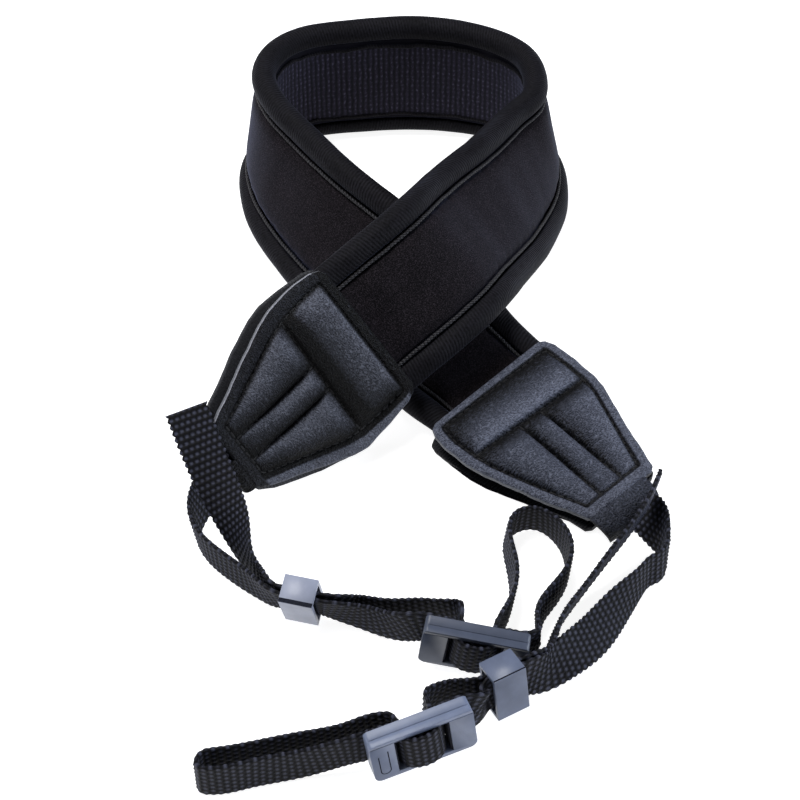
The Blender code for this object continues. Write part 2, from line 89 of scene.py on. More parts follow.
# The neck band from its left patch, round the back of the loop, to its right patch: x and y of
# the lower rolled edge's centre, the height of that edge over the surface, and the band's lean,
# 0 standing on its lower edge and 90 lying with its outer face up.
BAND_STATIONS = [
    (-35, -36.9, -5.5, 30), (-18, -22.2, 1.9, 33), (-0.4, -8.8, 11.4, 38), (14, 1.2, 18.4, 46),
    (23.2, 11.3, 20, 49), (32.1, 30.3, 14.8, 44), (39, 47.6, 8.5, 36), (44.5, 65, 3.4, 29),
    (47.3, 76.2, 1, 23), (48.2, 86, 0, 16), (47.5, 97, 0, 12), (42, 109.5, 0, 8),
    (30.5, 117.5, 0, 4), (16, 121.5, 0, 1), (0, 122.5, 0, 0), (-16, 121, 0, 1),
    (-31, 117.5, 0, 2), (-41.5, 109, 0, 5), (-46, 97, 0, 9), (-45.5, 84, 0, 15),
    (-43, 73, 0, 22), (-38, 61.5, 0, 27), (-30, 47, 0, 33), (-21, 33, 0, 42),
    (-10, 16, 0, 58), (1.5, -1.5, 0.2, 76), (11, -12, 0.6, 83), (29, -31.2, 0.1, 85),
    (47, -50.4, -0.6, 87),
]

# End patches: (along, half width) of one leather layer
PATCH_OUTLINE = [(0, 18.5), (1, 20.4), (3.5, 21.3), (10, 21.5), (17, 21.2), (22, 20.2), (36, 15.4),
                 (47, 11.6), (50, 10.6), (51, 9.0)]
PATCH_LENGTH = 51.0
PATCH_THICKNESS = 1.5
PATCH_RIM = 3.0  # from the patch's border to its stitch line
PATCH_SEAM = 16.5  # from the wide edge to the seam across the patch
CHANNEL_HALF = 3.8  # half the width of the middle stitched channel
CHANNEL_END = 47.0  # where the stitched channels end, towards the tip
PUFF_HEIGHT = 2.4
PUFF_START, PUFF_FALL = 6.0, 16.0  # how fast the long channels fill, and empty again
BED_START, BED_LENGTH = 14.0, 26.0  # where the two layers close in on the webbing
# How far each layer reaches past that outline: along, front lower and upper, back lower and upper
PATCH_REACH = {
    "left": [(0, 0, 0, 0.9, 0.6), (8, 0.8, 1.3, 2.2, 1.4), (18, 2.3, 1.8, 4, 2.8), (32, 2, 1.6, 4.6, 3.8),
             (46, 1.2, 0.8, 3.7, 3), (51, 0.4, 0.4, 2, 1.4)],
    "right": [(0, 0, 0, 0.9, 0.9), (51, 0, 0, 0.9, 0.9)],
}
FRONT, BACK = (1, 2), (3, 4)  # the columns of each layer

# Webbing and its hardware
WEBBING_WIDTH = 10.6
WEBBING_THICKNESS = 1.4
WEBBING_STEP = 2.0  # between its solid's sections
SEWN_PLACES = (9, 4, 0)  # its sewn end's stations, from the patch's tip
LAYER = WEBBING_THICKNESS + GAP  # between two layers of webbing
KEEPER_SIZE = (8.6, 7.4, 13.8)  # along, through, across
KEEPER_WALL = 1.1
BUCKLE_SIZE = (25.5, 4.6, 13.8)
BUCKLE_WINDOW = 13.6  # opening for the webbing, along the buckle
BUCKLE_RAIL = 1.3
BAR_HALF = 0.8  # half the width of the hidden middle bar
BAR_FRONT, BAR_BACK = 0.5, -1.1  # its faces, out from the buckle's middle
CUT_DEPTH = 20.0  # of a cutter that goes right through

# Hardware: x, y and z of its centre, its heading in plan, its pitch, and how far its top leans back
HARDWARE = {
    "left_keeper": (-24.2, -75.8, 7.5, -14, 0, -20),
    "left_buckle": (17.8, -91.2, 8.7, -8, -7, -4),
    "right_keeper": (24.8, -101.2, 7.5, 28, 3, 8),
    "right_buckle": (4.8, -117.3, 8.8, 20.5, 6, 3),
}

# Webbing through a buckle, as (along, out) in the buckle's own frame: the layer over the bar,
# and the one between it and the bar
OUTER_WEAVE = [(11, -3.5), (8.6, -3.35), (7.2, -3.35), (6.2, -3.1), (5.7, -2.25), (5.45, -0.7),
               (4.9, 0.95), (3.65, 2.45), (1.9, 3.2), (0, 3.42)]
INNER_WEAVE = [(4.4, -5.35), (4.1, -3.75), (3.75, -2.2), (3.45, -0.8), (2.9, 0.3), (2.0, 1.2),
               (1.0, 1.62), (0, 1.7)]

# Free webbing: x and y of the strip's middle, the height of its lowest edge over the surface, and
# its lean to the left of the way it runs, 0 standing on its edge and 90 lying flat. Each side runs
# from the patch to the keeper, on to the buckle, round the camera loop, back, and out as the tail.
ROUTES = {
    "left": [
        [(-51, -40.8, 1.4, -22), (-53, -48, 0, -12), (-50.6, -55.7, 0, -6), (-44.4, -62.7, 0, -4),
         (-36, -69.8, 0, -8)],
        [(-11, -78.8, 0, -8), (-1.5, -83.2, 1.5, -4), (4.3, -85.8, 4.6, -4)],
        [(31.8, -88.4, 1.4, -6), (33.3, -85.8, 0.5, 0), (34, -80, 0, 4), (37.8, -73, 0, 0),
         (41.8, -66, 0, -3), (42.7, -58, 0, -3), (39.7, -51, 0, 4), (34, -47.4, 0, 9),
         (28.9, -49.7, 0, 7), (27.6, -57.5, 0, 4), (28.6, -66, 0, 6), (27.8, -74, 0, 6),
         (25.2, -81, 0.7, 4)],
        [(14.6, -82.6, 3, 0), (12.4, -80.1, 2, 0), (6.5, -78.8, 1, 0), (-3, -77.8, 0, 4),
         (-12, -76, 0, 8)],
        [(-33, -69.5, 0.5, 8), (-37.4, -63.5, 1, 0), (-41.3, -54.7, 3.8, -28), (-45.6, -46, 9.2, -52),
         (-50.2, -38.3, 17.3, -70), (-54.8, -29.6, 25.6, -78)],
    ],
    "right": [
        [(60.5, -39.9, 2.7, 84), (63.2, -44, 1.4, 62), (66, -49.8, 0, 32), (67.5, -56, 0, 6),
         (67.2, -60.5, 0, -2), (65.3, -63.4, 0, -6), (62.8, -65, 0, -5), (60.5, -67.8, 0, -6),
         (58, -71.1, 0, -13), (54, -76, 0, -27), (47.2, -84.6, 0, -42), (39.7, -91.8, 0, -34),
         (35.4, -95.6, 0, -18)],
        [(19.4, -106.8, 1.6, 0), (17.3, -109.1, 3.4, 2)],
        [(-10.4, -119, 2, 0), (-23, -121.7, 0, 0), (-34.5, -124.4, 0, 0), (-43, -126.2, 0, 0),
         (-46.4, -125.2, 0, 0), (-46, -122.6, 0, 0), (-42, -121, 0, 0), (-34, -119.4, 0, 0),
         (-23, -116.8, 0, 0), (-12, -114.4, 0.5, 0), (-4.6, -112.8, 2, 0)],
        [(5.9, -108.6, 3.2, 0), (6.9, -105.9, 2.5, 0), (12, -103.2, 1.5, 0)],
        [(34.6, -92.6, 0, -8), (38.2, -83.3, 0, -12), (44, -73.6, 0.5, -14), (51.4, -64, 3, -13),
         (59, -54.6, 6, -12), (63.9, -46.9, 8.2, -10), (66, -42.2, 9.2, -9)],
    ],
}
WAY = {"left": 1, "right": -1}  # with its hardware's own direction, or against it

# Looks only, from here on
PANEL_HALF, PANEL_CROWN = 12.7, 2.75  # the panel's pillow: half its width, and its height
PANEL_PUCKER, PANEL_SWELL = 0.16, 0.25  # of its short waves beside the seams, and its long ones
PANEL_COLUMNS, LINING_COLUMNS, ROLL_SIDES, BACK_ROWS = 47, 52, 30, 130  # of points in their meshes
SEAM_CORD = (13.05, 1.95, 0.48)  # the cord beside each roll: across, out, radius
SEAM_FOLD = (13.0, -3.15, 0.6)  # the wavy fold on the inner face: the same
LINING_HALF = 15.0  # half its width
MESH_HALF = 12.6  # half the width of its knit; the rest is a plain border
WALE, NUB_ROW = 1.7, 1.75  # pitch of the lining's wales and of its rows of nubs
WALE_HEIGHT, NUB_HEIGHT = 0.12, 0.2
# Where a roll meets the panel, as (out, across)
ROLL_FLANK = [(-3.8, 15.35), (-1.9, 15.35), (-1.5, 16.1), (1.5, 14.2), (3.8, 12.8)]
STITCH_PITCH, STITCH_LENGTH, STITCH_WIDTH, STITCH_HEIGHT, STITCH_RISE = 2.3, 1.85, 0.62, 0.5, 0.02
# A stitch's girth over its length
BEAD_PROFILE = [(-0.5, 0.15), (-0.46, 0.6), (-0.32, 0.95), (0, 1), (0.32, 0.95), (0.46, 0.6), (0.5, 0.15)]
RIB, BEAD = 1.68, 1.55  # pitch of the webbing's ribs, and of the beads in each rib
RIB_DEPTH, BEAD_DEPTH = 0.45, 0.42  # of the hollows between them
DENT_WIDTH, DENT_DEPTH = 0.45, 0.42  # of the leather along a stitch line
RIM_HEIGHT, EDGE_DROP = 0.3, 0.25  # of a patch's raised rim, and of the worn border outside it
FACE_ROWS, FACE_COLUMNS = 150, 125  # points of a patch's face: along it, and across it
RIM_RIPPLE = {"left": 31, "right": 47}  # seeds of the patches' wavy rims
BACK_TIP = 1.0  # the back layer past the front one's tip
BACK_SAG = {"left": 0.0, "right": 0.9}  # how far the back layer's lower half hangs away
BACK_TUCK = {"left": 0.0, "right": 3.0}  # how far its lower border draws in beside the middle
CROSS_SKEW = {"left": 0.72, "right": 1.45}  # where the cross puff is highest
SEAM_SHIFT = {"left": (2.6, -0.08), "right": (0.5, 0.05)}  # of the seam along a patch: middle, slant
SEAM_PLAY = [(0, 0.25), (PATCH_RIM, 0.4), (PATCH_SEAM, 1), (CHANNEL_END, 0.1), (PATCH_LENGTH, 0)]
LOWER_SHIFT = {"left": 0.0, "right": 1.0}  # how much of LOWER_PLAY each side takes
LOWER_PLAY = [(-1.2, -3.8), (-1, -3.6), (-0.2, -2.2), (0.2, -2.2), (1, 0)]  # over its half width
# The leather turned down at each tip: its reach, drop, (lower, upper) border, and the tone of its painted
# light and shade at its root
FLAPS = {"left": (3.6, 2.6, (-10.0, 0.0), 0.12), "right": (7.0, 4.6, (-12.0, 8.5), 0.42)}

# Painted light and shade on the leather's faces, from 0 dark to 1 light
LIT_WAY = {"left": (-0.55, 0.8), "right": (0.75, 0.25)}  # where the light flanks face: along, across
RIM_TONE = {"left": (0.80, 0.22, 0.04), "right": (0.64, 0.64, 0.64)}  # lower, upper and wide-end rim
RIM_INSET = {"left": 1.1, "right": 0.0}  # the dark margin inside the lower rim's light strip
SEAM_SHADOW = {"left": 0.75, "right": 0.0}  # the dark valley beside the cross seam
QUICK_FILL, QUICK_FALL = 0.35, 0.25  # for the painted shading, the puffs are taken fuller towards their ends

# The dark, middle and light colour of each patch's painted light and shade; the right patch's set is lighter,
# painted light where it lies facing up
LEATHER = {
    "left_leather": ((0.0010, 0.0010, 0.0014), (0.022, 0.0235, 0.031), (0.112, 0.120, 0.153)),
    "right_leather": ((0.0012, 0.0013, 0.0020), (0.034, 0.038, 0.054), (0.135, 0.147, 0.195)),
}
# Colour, roughness, and the pitch of the ribs on it
PLAIN_LEATHER = {
    # The light line on the left patch's upper cut rim: a painted highlight
    "painted_highlight_edge": ((0.24, 0.24, 0.27), 0.8),
    "raw_edge": ((0.10, 0.105, 0.12), 0.7),
    # One backing leather in two copies: the left painted lighter as light, the right darker as shade
    "left_backing": ((0.028, 0.029, 0.034), 0.6, 0.9),
    "right_backing": ((0.0075, 0.0078, 0.010), 0.55, 0.9),
    "hardware_shadow": ((0.006, 0.007, 0.014), 0.9),
}
# Each piece's copy of one plastic, with painted light and shade: lighter where it faces the lamps, darker
# where its front lies in shadow
HARDWARE_COLOUR_AND_PAINTED_LIGHT = {
    "left_keeper": (0.250, 0.270, 0.345),
    "right_keeper": (0.105, 0.125, 0.185),
    "left_buckle": (0.052, 0.062, 0.092),
    "right_buckle": (0.125, 0.150, 0.225),
}
OUTLINE_BOX = (-11.0, -8.6, 3.4, -3.6)  # on the buckle's face: left, right, top, low
KEEPER_BEVEL, BUCKLE_BEVEL = 0.14, 0.16
BUCKLE_CORNERS = (1.9, 1.1)  # radii of its lower and upper corners
BUCKLE_LIP = 3.0  # side of the block that bevels its top edge
KEEPER_SHADOW_LINE = {"left_keeper": 1.1, "right_keeper": 0.4}  # a painted shadow: the dark strip along the front edge of its upper face
VIEW_ELEVATION, VIEW_DISTANCE = 46.0, 520.0  # degrees down, and from the middle of the picture
VIEW_LENS, VIEW_SENSOR = 84.24, 36.0  # the lens, and the width of its frame
FLOOR_GLOW = 0.9  # the floor's own light, which keeps it white
FLOOR_DROP = 0.0002  # metres below the surface that the strap's solids rest on
WORLD_STRENGTH = 0.15  # of the even light from all sides

# Soft lights: name, place, (width, height) in metres, watts, colour. All face the origin.
LIGHTS = [
    ("key", (-0.45, 0.25, 1.35), (1.1, 0.8), 30.0, (1.0, 1.0, 1.0)),
    ("right side", (1.25, -0.1, 0.4), (0.5, 0.5), 14.0, (0.8, 0.88, 1.0)),
    ("left side", (-1.2, -0.1, 0.45), (0.5, 0.5), 3.5, (0.85, 0.9, 1.0)),
]


# ---------------- strips in space

def unit(vectors):
    return vectors / np.linalg.norm(vectors, axis=-1, keepdims=True)


def square_to(along, vectors):
    """The given ways, turned to be at right angles to the way along."""
    return unit(vectors - along * np.sum(vectors * along, axis=-1, keepdims=True))


def smooth(value):
    value = np.clip(value, 0.0, 1.0)
    return value * value * (3 - 2 * value)


def circle(count):
    """Angles all round."""
    return np.linspace(0, TURN, count, endpoint=False)


def crests(places, pitch, phase=0.0):
    """1 at each multiple of the pitch, and 0 half way between two of them."""
    return 0.5 + 0.5 * np.cos(places * TURN / pitch + phase)


def blend(first, second, share):
    return first * (1 - share) + second * share


def read(places, knots, table):
    """A table's rows, given at the knots, at other places: straight from one row to the next."""
    return np.stack([np.interp(places, knots, column) for column in np.transpose(table)], -1)


def spline(rows, knots, places):
    """A natural cubic spline through the rows, whose places are the knots, read at other places."""
    table = np.array(rows, float)
    gaps = np.diff(knots)
    count = len(table)
    system = np.eye(count)
    right = np.zeros(table.shape)
    slopes = np.diff(table, axis=0) / gaps[:, None]
    for i in range(1, count - 1):
        system[i, i - 1:i + 2] = gaps[i - 1], 2 * (gaps[i - 1] + gaps[i]), gaps[i]
        right[i] = 6 * (slopes[i] - slopes[i - 1])
    bend = np.linalg.solve(system, right)
    spans = np.clip(np.searchsorted(knots, places) - 1, 0, count - 2)
    after = (places - knots[spans])[:, None]
    before = (knots[spans + 1] - places)[:, None]
    size = gaps[spans][:, None]
    bend_low, bend_high = bend[spans], bend[spans + 1]
    return ((bend_low * before ** 3 + bend_high * after ** 3) / (6 * size)
            + (table[spans] / size - bend_low * size / 6) * before
            + (table[spans + 1] / size - bend_high * size / 6) * after)


def chords(points):
    """Distance along a row of points, from the first one."""
    steps = np.linalg.norm(np.diff(points, axis=0), axis=1)
    return np.concatenate(([0.0], np.cumsum(steps)))


def leaning(along, roll):
    """The way across a strip that runs along, standing on its edge and leaning left by roll."""
    lean = np.radians(roll)[:, None]
    left = unit(np.cross(UP, along))
    return square_to(along, np.cos(lean) * UP + np.sin(lean) * left)


class Ribbon:
    """A strip in space: its middle line, and at each point of it the ways across and out."""

    def __init__(self, points, across):
        along = unit(np.gradient(points, axis=0))
        self.points = points
        self.across = square_to(along, across)
        self.out = np.cross(along, self.across)
        self.lengths = chords(points)
        self.length = self.lengths[-1]

    def at(self, places, across=0.0, out=0.0):
        """Points at places along the strip, and at distances across and out of it."""
        middle = read(places, self.lengths, self.points)
        side = read(places, self.lengths, self.across)
        face = read(places, self.lengths, self.out)
        return middle + side * np.expand_dims(across, -1) + face * np.expand_dims(out, -1)


def neck_ribbon():
    """The neck band's middle line, from the table of its lower edge."""
    table = np.array(BAND_STATIONS, float)
    knots = chords(table[:, :2])
    x, y, lift, roll = spline(table, knots, np.linspace(0.0, knots[-1], FINE * BAND_STEPS + 1)).T
    lower = np.stack([x, y, lift + ROLL_RADIUS], axis=1)
    across = leaning(unit(np.gradient(lower, axis=0)), roll)
    return Ribbon(lower + across * BAND_SPAN / 2, across)


class Hardware:
    """The own frame of a keeper or buckle: along it, across its webbing, and out to the viewer."""

    def __init__(self, name):
        heading, pitch, lean = (math.radians(angle) for angle in HARDWARE[name][3:])
        self.centre = np.array(HARDWARE[name][:3])
        self.along = np.array([math.cos(heading) * math.cos(pitch), math.sin(heading) * math.cos(pitch),
                               math.sin(pitch)])
        upright = square_to(self.along, UP)
        back = np.cross(upright, self.along)
        self.across = math.cos(lean) * upright + math.sin(lean) * back
        self.out = np.cross(self.along, self.across)

    def matrix(self):
        """Places a block: its X runs along, its Y away from the viewer, and its Z across."""
        columns = (self.along, -self.out, self.across, self.centre * MM)
        return Matrix([[column[i] for column in columns] for i in range(3)] + [(0, 0, 0, 1)])


def free_station(x, y, lift, roll):
    """(point, roll) of a free webbing's middle, from the height of its lowest edge."""
    lean = math.radians(roll)
    height = WEBBING_WIDTH / 2 * abs(math.cos(lean)) + WEBBING_THICKNESS / 2 * abs(math.sin(lean))
    return (x, y, lift + height), roll


def sewn_stations(neck, side):
    """Fixed (point, across) stations of the webbing's sewn end, between its patch's two layers."""
    places = [place if side == "left" else neck.length - place for place in SEWN_PLACES]
    return [(neck.at(place), read(place, neck.lengths, neck.across)) for place in places]


def threaded(name, weave, direction):
    """Fixed stations through a piece of hardware, run in its own direction or the other way."""
    held = Hardware(name)
    return [(held.centre + held.along * along + held.out * out, held.across)
            for along, out in weave[::direction]]


def keeper_weave(out):
    """Straight through a keeper, and a little past both of its mouths."""
    reach = KEEPER_SIZE[0] / 2 + 1
    return [(-reach, out), (0, out), (reach, out)]


def buckle_weave(half):
    """Both halves of a weave whose table runs from the right end to the bar."""
    return [(-along, out) for along, out in half] + half[-2::-1]


def webbing_stations(neck, side):
    """Patch, keeper, over the buckle's bar, camera loop, back under the first layer, free tail."""
    keeper_name, buckle_name, way = side + "_keeper", side + "_buckle", WAY[side]
    to_keeper, to_buckle, loop, back, tail = ROUTES[side]
    return (sewn_stations(neck, side) + to_keeper
            + threaded(keeper_name, keeper_weave(LAYER / 2), way) + to_buckle
            + threaded(buckle_name, buckle_weave(OUTER_WEAVE), way) + loop
            + threaded(buckle_name, buckle_weave(INNER_WEAVE), -way) + back
            + threaded(keeper_name, keeper_weave(-LAYER / 2), -way) + tail)


def webbing_ribbon(stations):
    """A webbing's middle line through fixed stations (point, across) and free rows of a route."""
    free = [len(row) == 4 for row in stations]
    rows = [free_station(*row) if loose else (row[0], 0.0) for row, loose in zip(stations, free)]
    points = np.array([point for point, roll in rows], float)
    across = leaning(unit(np.gradient(points, axis=0)), np.array([roll for point, roll in rows]))
    for i, row in enumerate(stations):
        if not free[i]:
            across[i] = row[1]
    knots = chords(points)
    places = np.linspace(0.0, knots[-1], int(knots[-1] / WEBBING_STEP * FINE))
    line = spline(np.hstack([points, across]), knots, places)
    return Ribbon(line[:, :3], line[:, 3:])


# ---------------- meshes

def shifted(points):
    """From the tables' own origin to the frame's, in metres."""
    return (np.asarray(points) + SHIFT) * MM


def linked(name, points, faces):
    """A new object in the scene, with a mesh of points in metres."""
    mesh = bpy.data.meshes.new(name)
    mesh.from_pydata(np.reshape(points, (-1, 3)).tolist(), [], faces)
    piece = bpy.data.objects.new(name, mesh)
    bpy.context.scene.collection.objects.link(piece)
    return piece


def map_corners(mesh, name, values):
    """A UV map with a pair of values for each corner of the mesh."""
    layer = mesh.uv_layers.new(name=name)
    layer.uv.foreach_set("vector", np.ravel(values).astype(np.float32))


def skin(name, points, marks, painted_shading=None):
    """A capped tube through rings of points; marks are (u, v) in mm, with one more column than them."""
    rows, columns = points.shape[:2]
    row, column = (index.ravel() for index in np.indices((rows - 1, columns)))
    corners = ((row, column), (row, column + 1), (row + 1, column + 1), (row + 1, column))
    faces = np.stack([r * columns + c % columns for r, c in corners], -1).tolist()
    places = [np.stack([marks[r, c] for r, c in corners], 1).reshape(-1, 2)]
    for end, turn in ((0, -1), (rows - 1, 1)):
        faces.append([end * columns + c for c in range(columns)][::turn])
        places.append(marks[end, :columns][::turn])
    piece = linked(name, shifted(points), faces)
    mesh = piece.data
    map_corners(mesh, "strip", np.vstack(places))
    # Painted light and shade for each point, carried by the UV map named relief
    if painted_shading is not None:
        vertices = np.zeros(len(mesh.loops), dtype=np.int32)
        mesh.loops.foreach_get("vertex_index", vertices)
        map_corners(mesh, "relief", np.repeat(painted_shading.ravel()[vertices], 2))
        mesh.uv_layers.active_index = 0
    mesh.shade_smooth()
    return piece


def strip_marks(places, around):
    """(u, v) of a strip's skin: the place along it and the distance round it."""
    return np.stack(np.meshgrid(places, around, indexing="ij"), -1)


def around_lengths(across, out):
    """Distance round a section, from its first point and back to it."""
    ring = np.stack([across, out], -1)
    return chords(np.vstack([ring, ring[:1]]))


def dress(piece, slot, *nodes, look=None):
    """Material, body and CAD nodes of one piece."""
    piece.data.materials.append(LOOKS[look or slot])
    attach(piece, "root")
    if nodes:
        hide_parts(*nodes)
    return piece


def waves(places, seed, longest, strength):
    """A smooth wandering line: a sum of sines of falling length, alike in each run."""
    draw = np.random.default_rng(seed)
    total = np.zeros_like(places)
    for k in range(4):
        length = longest / (1.7 ** k)
        total += np.sin(places * TURN / length + draw.uniform(0, 7)) / (1.4 ** k)
    return strength * total / 2.5


# ---------------- materials

class Look:
    """A Principled material and the nodes that feed it. Distances in it are millimetres of the strip."""

    def __init__(self, name, colour, roughness, specular, sheen=0.0, tint=(1, 1, 1), sheen_roughness=0.5):
        self.material = bpy.data.materials.new(name)
        self.material.use_nodes = True
        self.tree = self.material.node_tree
        self.shader = self.tree.nodes["Principled BSDF"]
        plain = {"Base Color": (*colour, 1), "Roughness": roughness, "Specular IOR Level": specular,
                 "Sheen Weight": sheen, "Sheen Tint": (*tint, 1), "Sheen Roughness": sheen_roughness}
        for socket, value in plain.items():
            self.shader.inputs[socket].default_value = value

    def node(self, kind, **inputs):
        made = self.tree.nodes.new("ShaderNode" + kind)
        for name, value in inputs.items():
            self.feed(made.inputs[name], value)
        return made

    def feed(self, socket, value):
        if hasattr(value, "is_output"):
            self.tree.links.new(value, socket)
        else:
            socket.default_value = value

    def math(self, operation, *values, clamp=False):
        made = self.node("Math")
        made.operation = operation
        made.use_clamp = clamp
        for socket, value in zip(made.inputs, values):
            self.feed(socket, value)
        return made.outputs[0]

    def times(self, product, *others):
        for other in others:
            product = self.math("MULTIPLY", product, other)
        return product

    def plus(self, first, second, clamp=False):
        return self.math("ADD", first, second, clamp=clamp)

    def scaled(self, value, factor, offset, clamp=False):
        return self.math("MULTIPLY_ADD", value, factor, offset, clamp=clamp)

    def mapped(self, name="strip"):
        """The two values of a UV map: a strip's (u, v) in mm, or its painted light and shade, twice."""
        coordinate = self.node("UVMap")
        coordinate.uv_map = name
        parts = self.node("SeparateXYZ", Vector=coordinate.outputs["UV"])
        return parts.outputs["X"], parts.outputs["Y"]

    def vector(self, x, y):
        return self.node("CombineXYZ", X=x, Y=y).outputs[0]

    def body(self):
        """Place on the object, in mm."""
        made = self.node("VectorMath")
        made.operation = "SCALE"
        self.feed(made.inputs[0], self.node("TexCoord").outputs["Object"])
        made.inputs["Scale"].default_value = 1 / MM
        return made.outputs[0]

    def noise(self, vector, scale, detail=3.0, roughness=0.5):
        made = self.node("TexNoise", Vector=vector, Scale=scale, Detail=detail, Roughness=roughness)
        return made.outputs["Fac"]

    def cells(self, vector, scale):
        made = self.node("TexVoronoi", Vector=vector, Scale=scale)
        made.feature = "SMOOTH_F1"
        return made.outputs["Distance"]

    def ripple(self, value, pitch, phase=0.0):
        """0 to 1 and back for each pitch."""
        return self.scaled(self.math("SINE", self.scaled(value, TURN / pitch, phase)), 0.5, 0.5)

    def paint(self, value, *stops):
        """Colours the surface by the value, from (place, colour) stops."""
        made = self.node("ValToRGB", Fac=value)
        band = made.color_ramp
        while len(band.elements) < len(stops):
            band.elements.new(0.5)
        for element, (place, colour) in zip(band.elements, stops):
            element.position = place
            element.color = (*colour, 1)
        self.feed(self.shader.inputs["Base Color"], made.outputs["Color"])

    def roughen(self, value):
        self.feed(self.shader.inputs["Roughness"], value)

    def bumps(self, *layers):
        """Bump nodes in a row, each (height, strength, millimetres deep)."""
        normal = None
        for height, strength, depth in layers:
            made = self.node("Bump", Height=height, Strength=strength, Distance=depth * MM)
            if normal:
                self.feed(made.inputs["Normal"], normal)
            normal = made.outputs["Normal"]
        self.feed(self.shader.inputs["Normal"], normal)


def jersey_look():
    """Fine matte knit laid over foam: tiny slanted stitches, light specks, a soft bloom at the sides."""
    look = Look("jersey", (0.0065, 0.0063, 0.0075), 0.8, 0.06, 0.13, (0.55, 0.62, 1.0), 0.35)
    u, v = look.mapped()
    knit = look.times(look.ripple(u, 0.55), look.ripple(look.scaled(u, 0.3, v), 0.5))
    cloud = look.noise(look.vector(u, v), 0.16, 4.0)
    speck = look.noise(look.body(), 3.0, 2.0, 0.7)
    look.paint(look.scaled(speck, 0.92, look.times(cloud, 0.08)), (0.40, (0.0008, 0.0006, 0.0009)),
               (0.52, (0.0050, 0.0038, 0.0050)), (0.66, (0.020, 0.016, 0.020)))
    look.bumps((cloud, 0.25, 0.6), (knit, 0.5, 0.07), (speck, 0.5, 0.10))
    return look.material


def edge_look():
    """The rolled edges' jersey, stretched round them: faint ribs across the roll."""
    look = Look("edge_jersey", (0.0055, 0.0055, 0.0070), 0.7, 0.06, 0.05, (0.6, 0.68, 1.0), 0.35)
    u, v = look.mapped()
    ribs = look.ripple(look.scaled(v, 0.25, u), 0.95)
    fine = look.noise(look.vector(look.times(u, 1.6), look.times(v, 0.7)), 1.3, 3.0, 0.6)
    cloud = look.noise(look.vector(u, v), 0.09, 3.0)
    shown = look.times(ribs, look.scaled(cloud, 1.8, -0.35, clamp=True))
    look.paint(look.scaled(shown, 0.35, look.times(fine, 0.8)), (0.30, (0.0010, 0.0009, 0.0013)),
               (0.65, (0.0085, 0.0080, 0.0105)))
    look.bumps((cloud, 0.2, 0.5), (shown, 0.9, 0.16), (fine, 0.5, 0.07))
    return look.material


def cord_look():
    """The thin cord beside each roll: painted lighter as a highlight on the raised cord, with a slanted twist
    whose hollows carry painted shade.
    """
    look = Look("cord", (0.03, 0.03, 0.034), 0.6, 0.2)
    twist = look.ripple(look.plus(*look.mapped()), 1.1)
    look.paint(twist, (0.15, (0.004, 0.004, 0.005)), (0.75, (0.026, 0.025, 0.029)))
    look.bumps((twist, 0.9, 0.22))
    return look.material


def mesh_look():
    """Knitted grip mesh: upright wales with faint lighter dashes, and a plain border beside each roll."""
    look = Look("grip_mesh", (0.006, 0.0065, 0.014), 0.75, 0.08, 0.06, (0.5, 0.6, 1.0), 0.5)
    u, v = look.mapped()
    wander = look.noise(look.vector(u, v), 0.35, 2.0)
    wale = look.ripple(look.scaled(wander, 0.9, u), WALE)
    row = look.ripple(look.scaled(wander, 1.8, v), NUB_ROW)
    patchy = look.noise(look.vector(look.times(u, 1.6), look.times(v, 0.8)), 0.9, 2.0)
    dash = look.times(wale, row, look.scaled(patchy, 3.4, -1.35, clamp=True))
    fibre = look.noise(look.vector(look.times(u, 3.0), v), 1.4, 3.0, 0.7)
    thread = look.times(wale, look.scaled(fibre, 1.2, -0.05, clamp=True))
    from_middle = look.math("ABSOLUTE", look.math("SUBTRACT", v, LINING_HALF))
    knitted = look.scaled(from_middle, -2.0, 2.0 * MESH_HALF, clamp=True)
    knitted = look.math("SMOOTH_MIN", knitted, 1.0, 0.1)
    tone = look.times(look.scaled(dash, 0.5, look.times(thread, 0.62)), knitted)
    look.paint(tone, (0.03, (0.0045, 0.0040, 0.0070)), (0.35, (0.0150, 0.0130, 0.0240)),
               (0.85, (0.060, 0.056, 0.090)))
    height = look.times(look.scaled(dash, 0.4, look.times(wale, 0.7)), knitted)
    look.bumps((height, 0.9, 0.3), (fibre, 0.5, 0.08))
    return look.material


def leather_look(name, dark, middle, light):
    """Grained synthetic leather with painted light and shade: lighter on the puffs' crowns, dark in the
    seams.
    """
    look = Look(name, middle, 0.55, 0.13)
    u, v = look.mapped()
    warp = look.times(look.noise(look.vector(u, v), 0.5, 2.0), 1.6)
    pebbles = look.vector(look.scaled(u, 1.5, warp), look.plus(v, warp))
    grain = look.cells(pebbles, 2.3)
    fine = look.noise(pebbles, 3.0, 3.0, 0.6)
    gathers = look.noise(look.vector(look.plus(u, warp), look.scaled(v, 0.8, warp)), 0.9, 2.0)
    speckle = look.scaled(grain, 0.6, look.scaled(fine, 0.55, -0.55))
    tone = look.plus(look.mapped("relief")[0], speckle, clamp=True)
    look.paint(tone, (0.06, dark), (0.48, middle), (0.98, light))
    look.roughen(look.scaled(fine, 0.2, 0.45))
    look.bumps((gathers, 0.2, 0.4), (grain, 1.0, 0.5), (fine, 0.8, 0.2))
    return look.material


def plain_leather_look(name, colour, roughness, rib=0.0):
    """Leather of one colour, with ribs of the given pitch across it where there is one."""
    look = Look(name, colour, roughness, 0.2)
    place = look.body()
    fine = look.noise(place, 2.5, 3.0, 0.6)
    layers = [(look.cells(place, 1.7), 0.5, 0.14), (fine, 0.5, 0.08)]
    if rib:
        layers.insert(0, (look.ripple(look.mapped()[0], rib), 0.8, 0.3))
    look.paint(fine, (0.3, tuple(c * 0.6 for c in colour)), (0.7, tuple(c * 1.3 for c in colour)))
    look.bumps(*layers)
    return look.material


def thread_look():
    look = Look("thread", (0.004, 0.004, 0.0055), 0.55, 0.4)
    look.bumps((look.ripple(look.plus(*look.mapped()), 0.45), 0.7, 0.1))
    return look.material


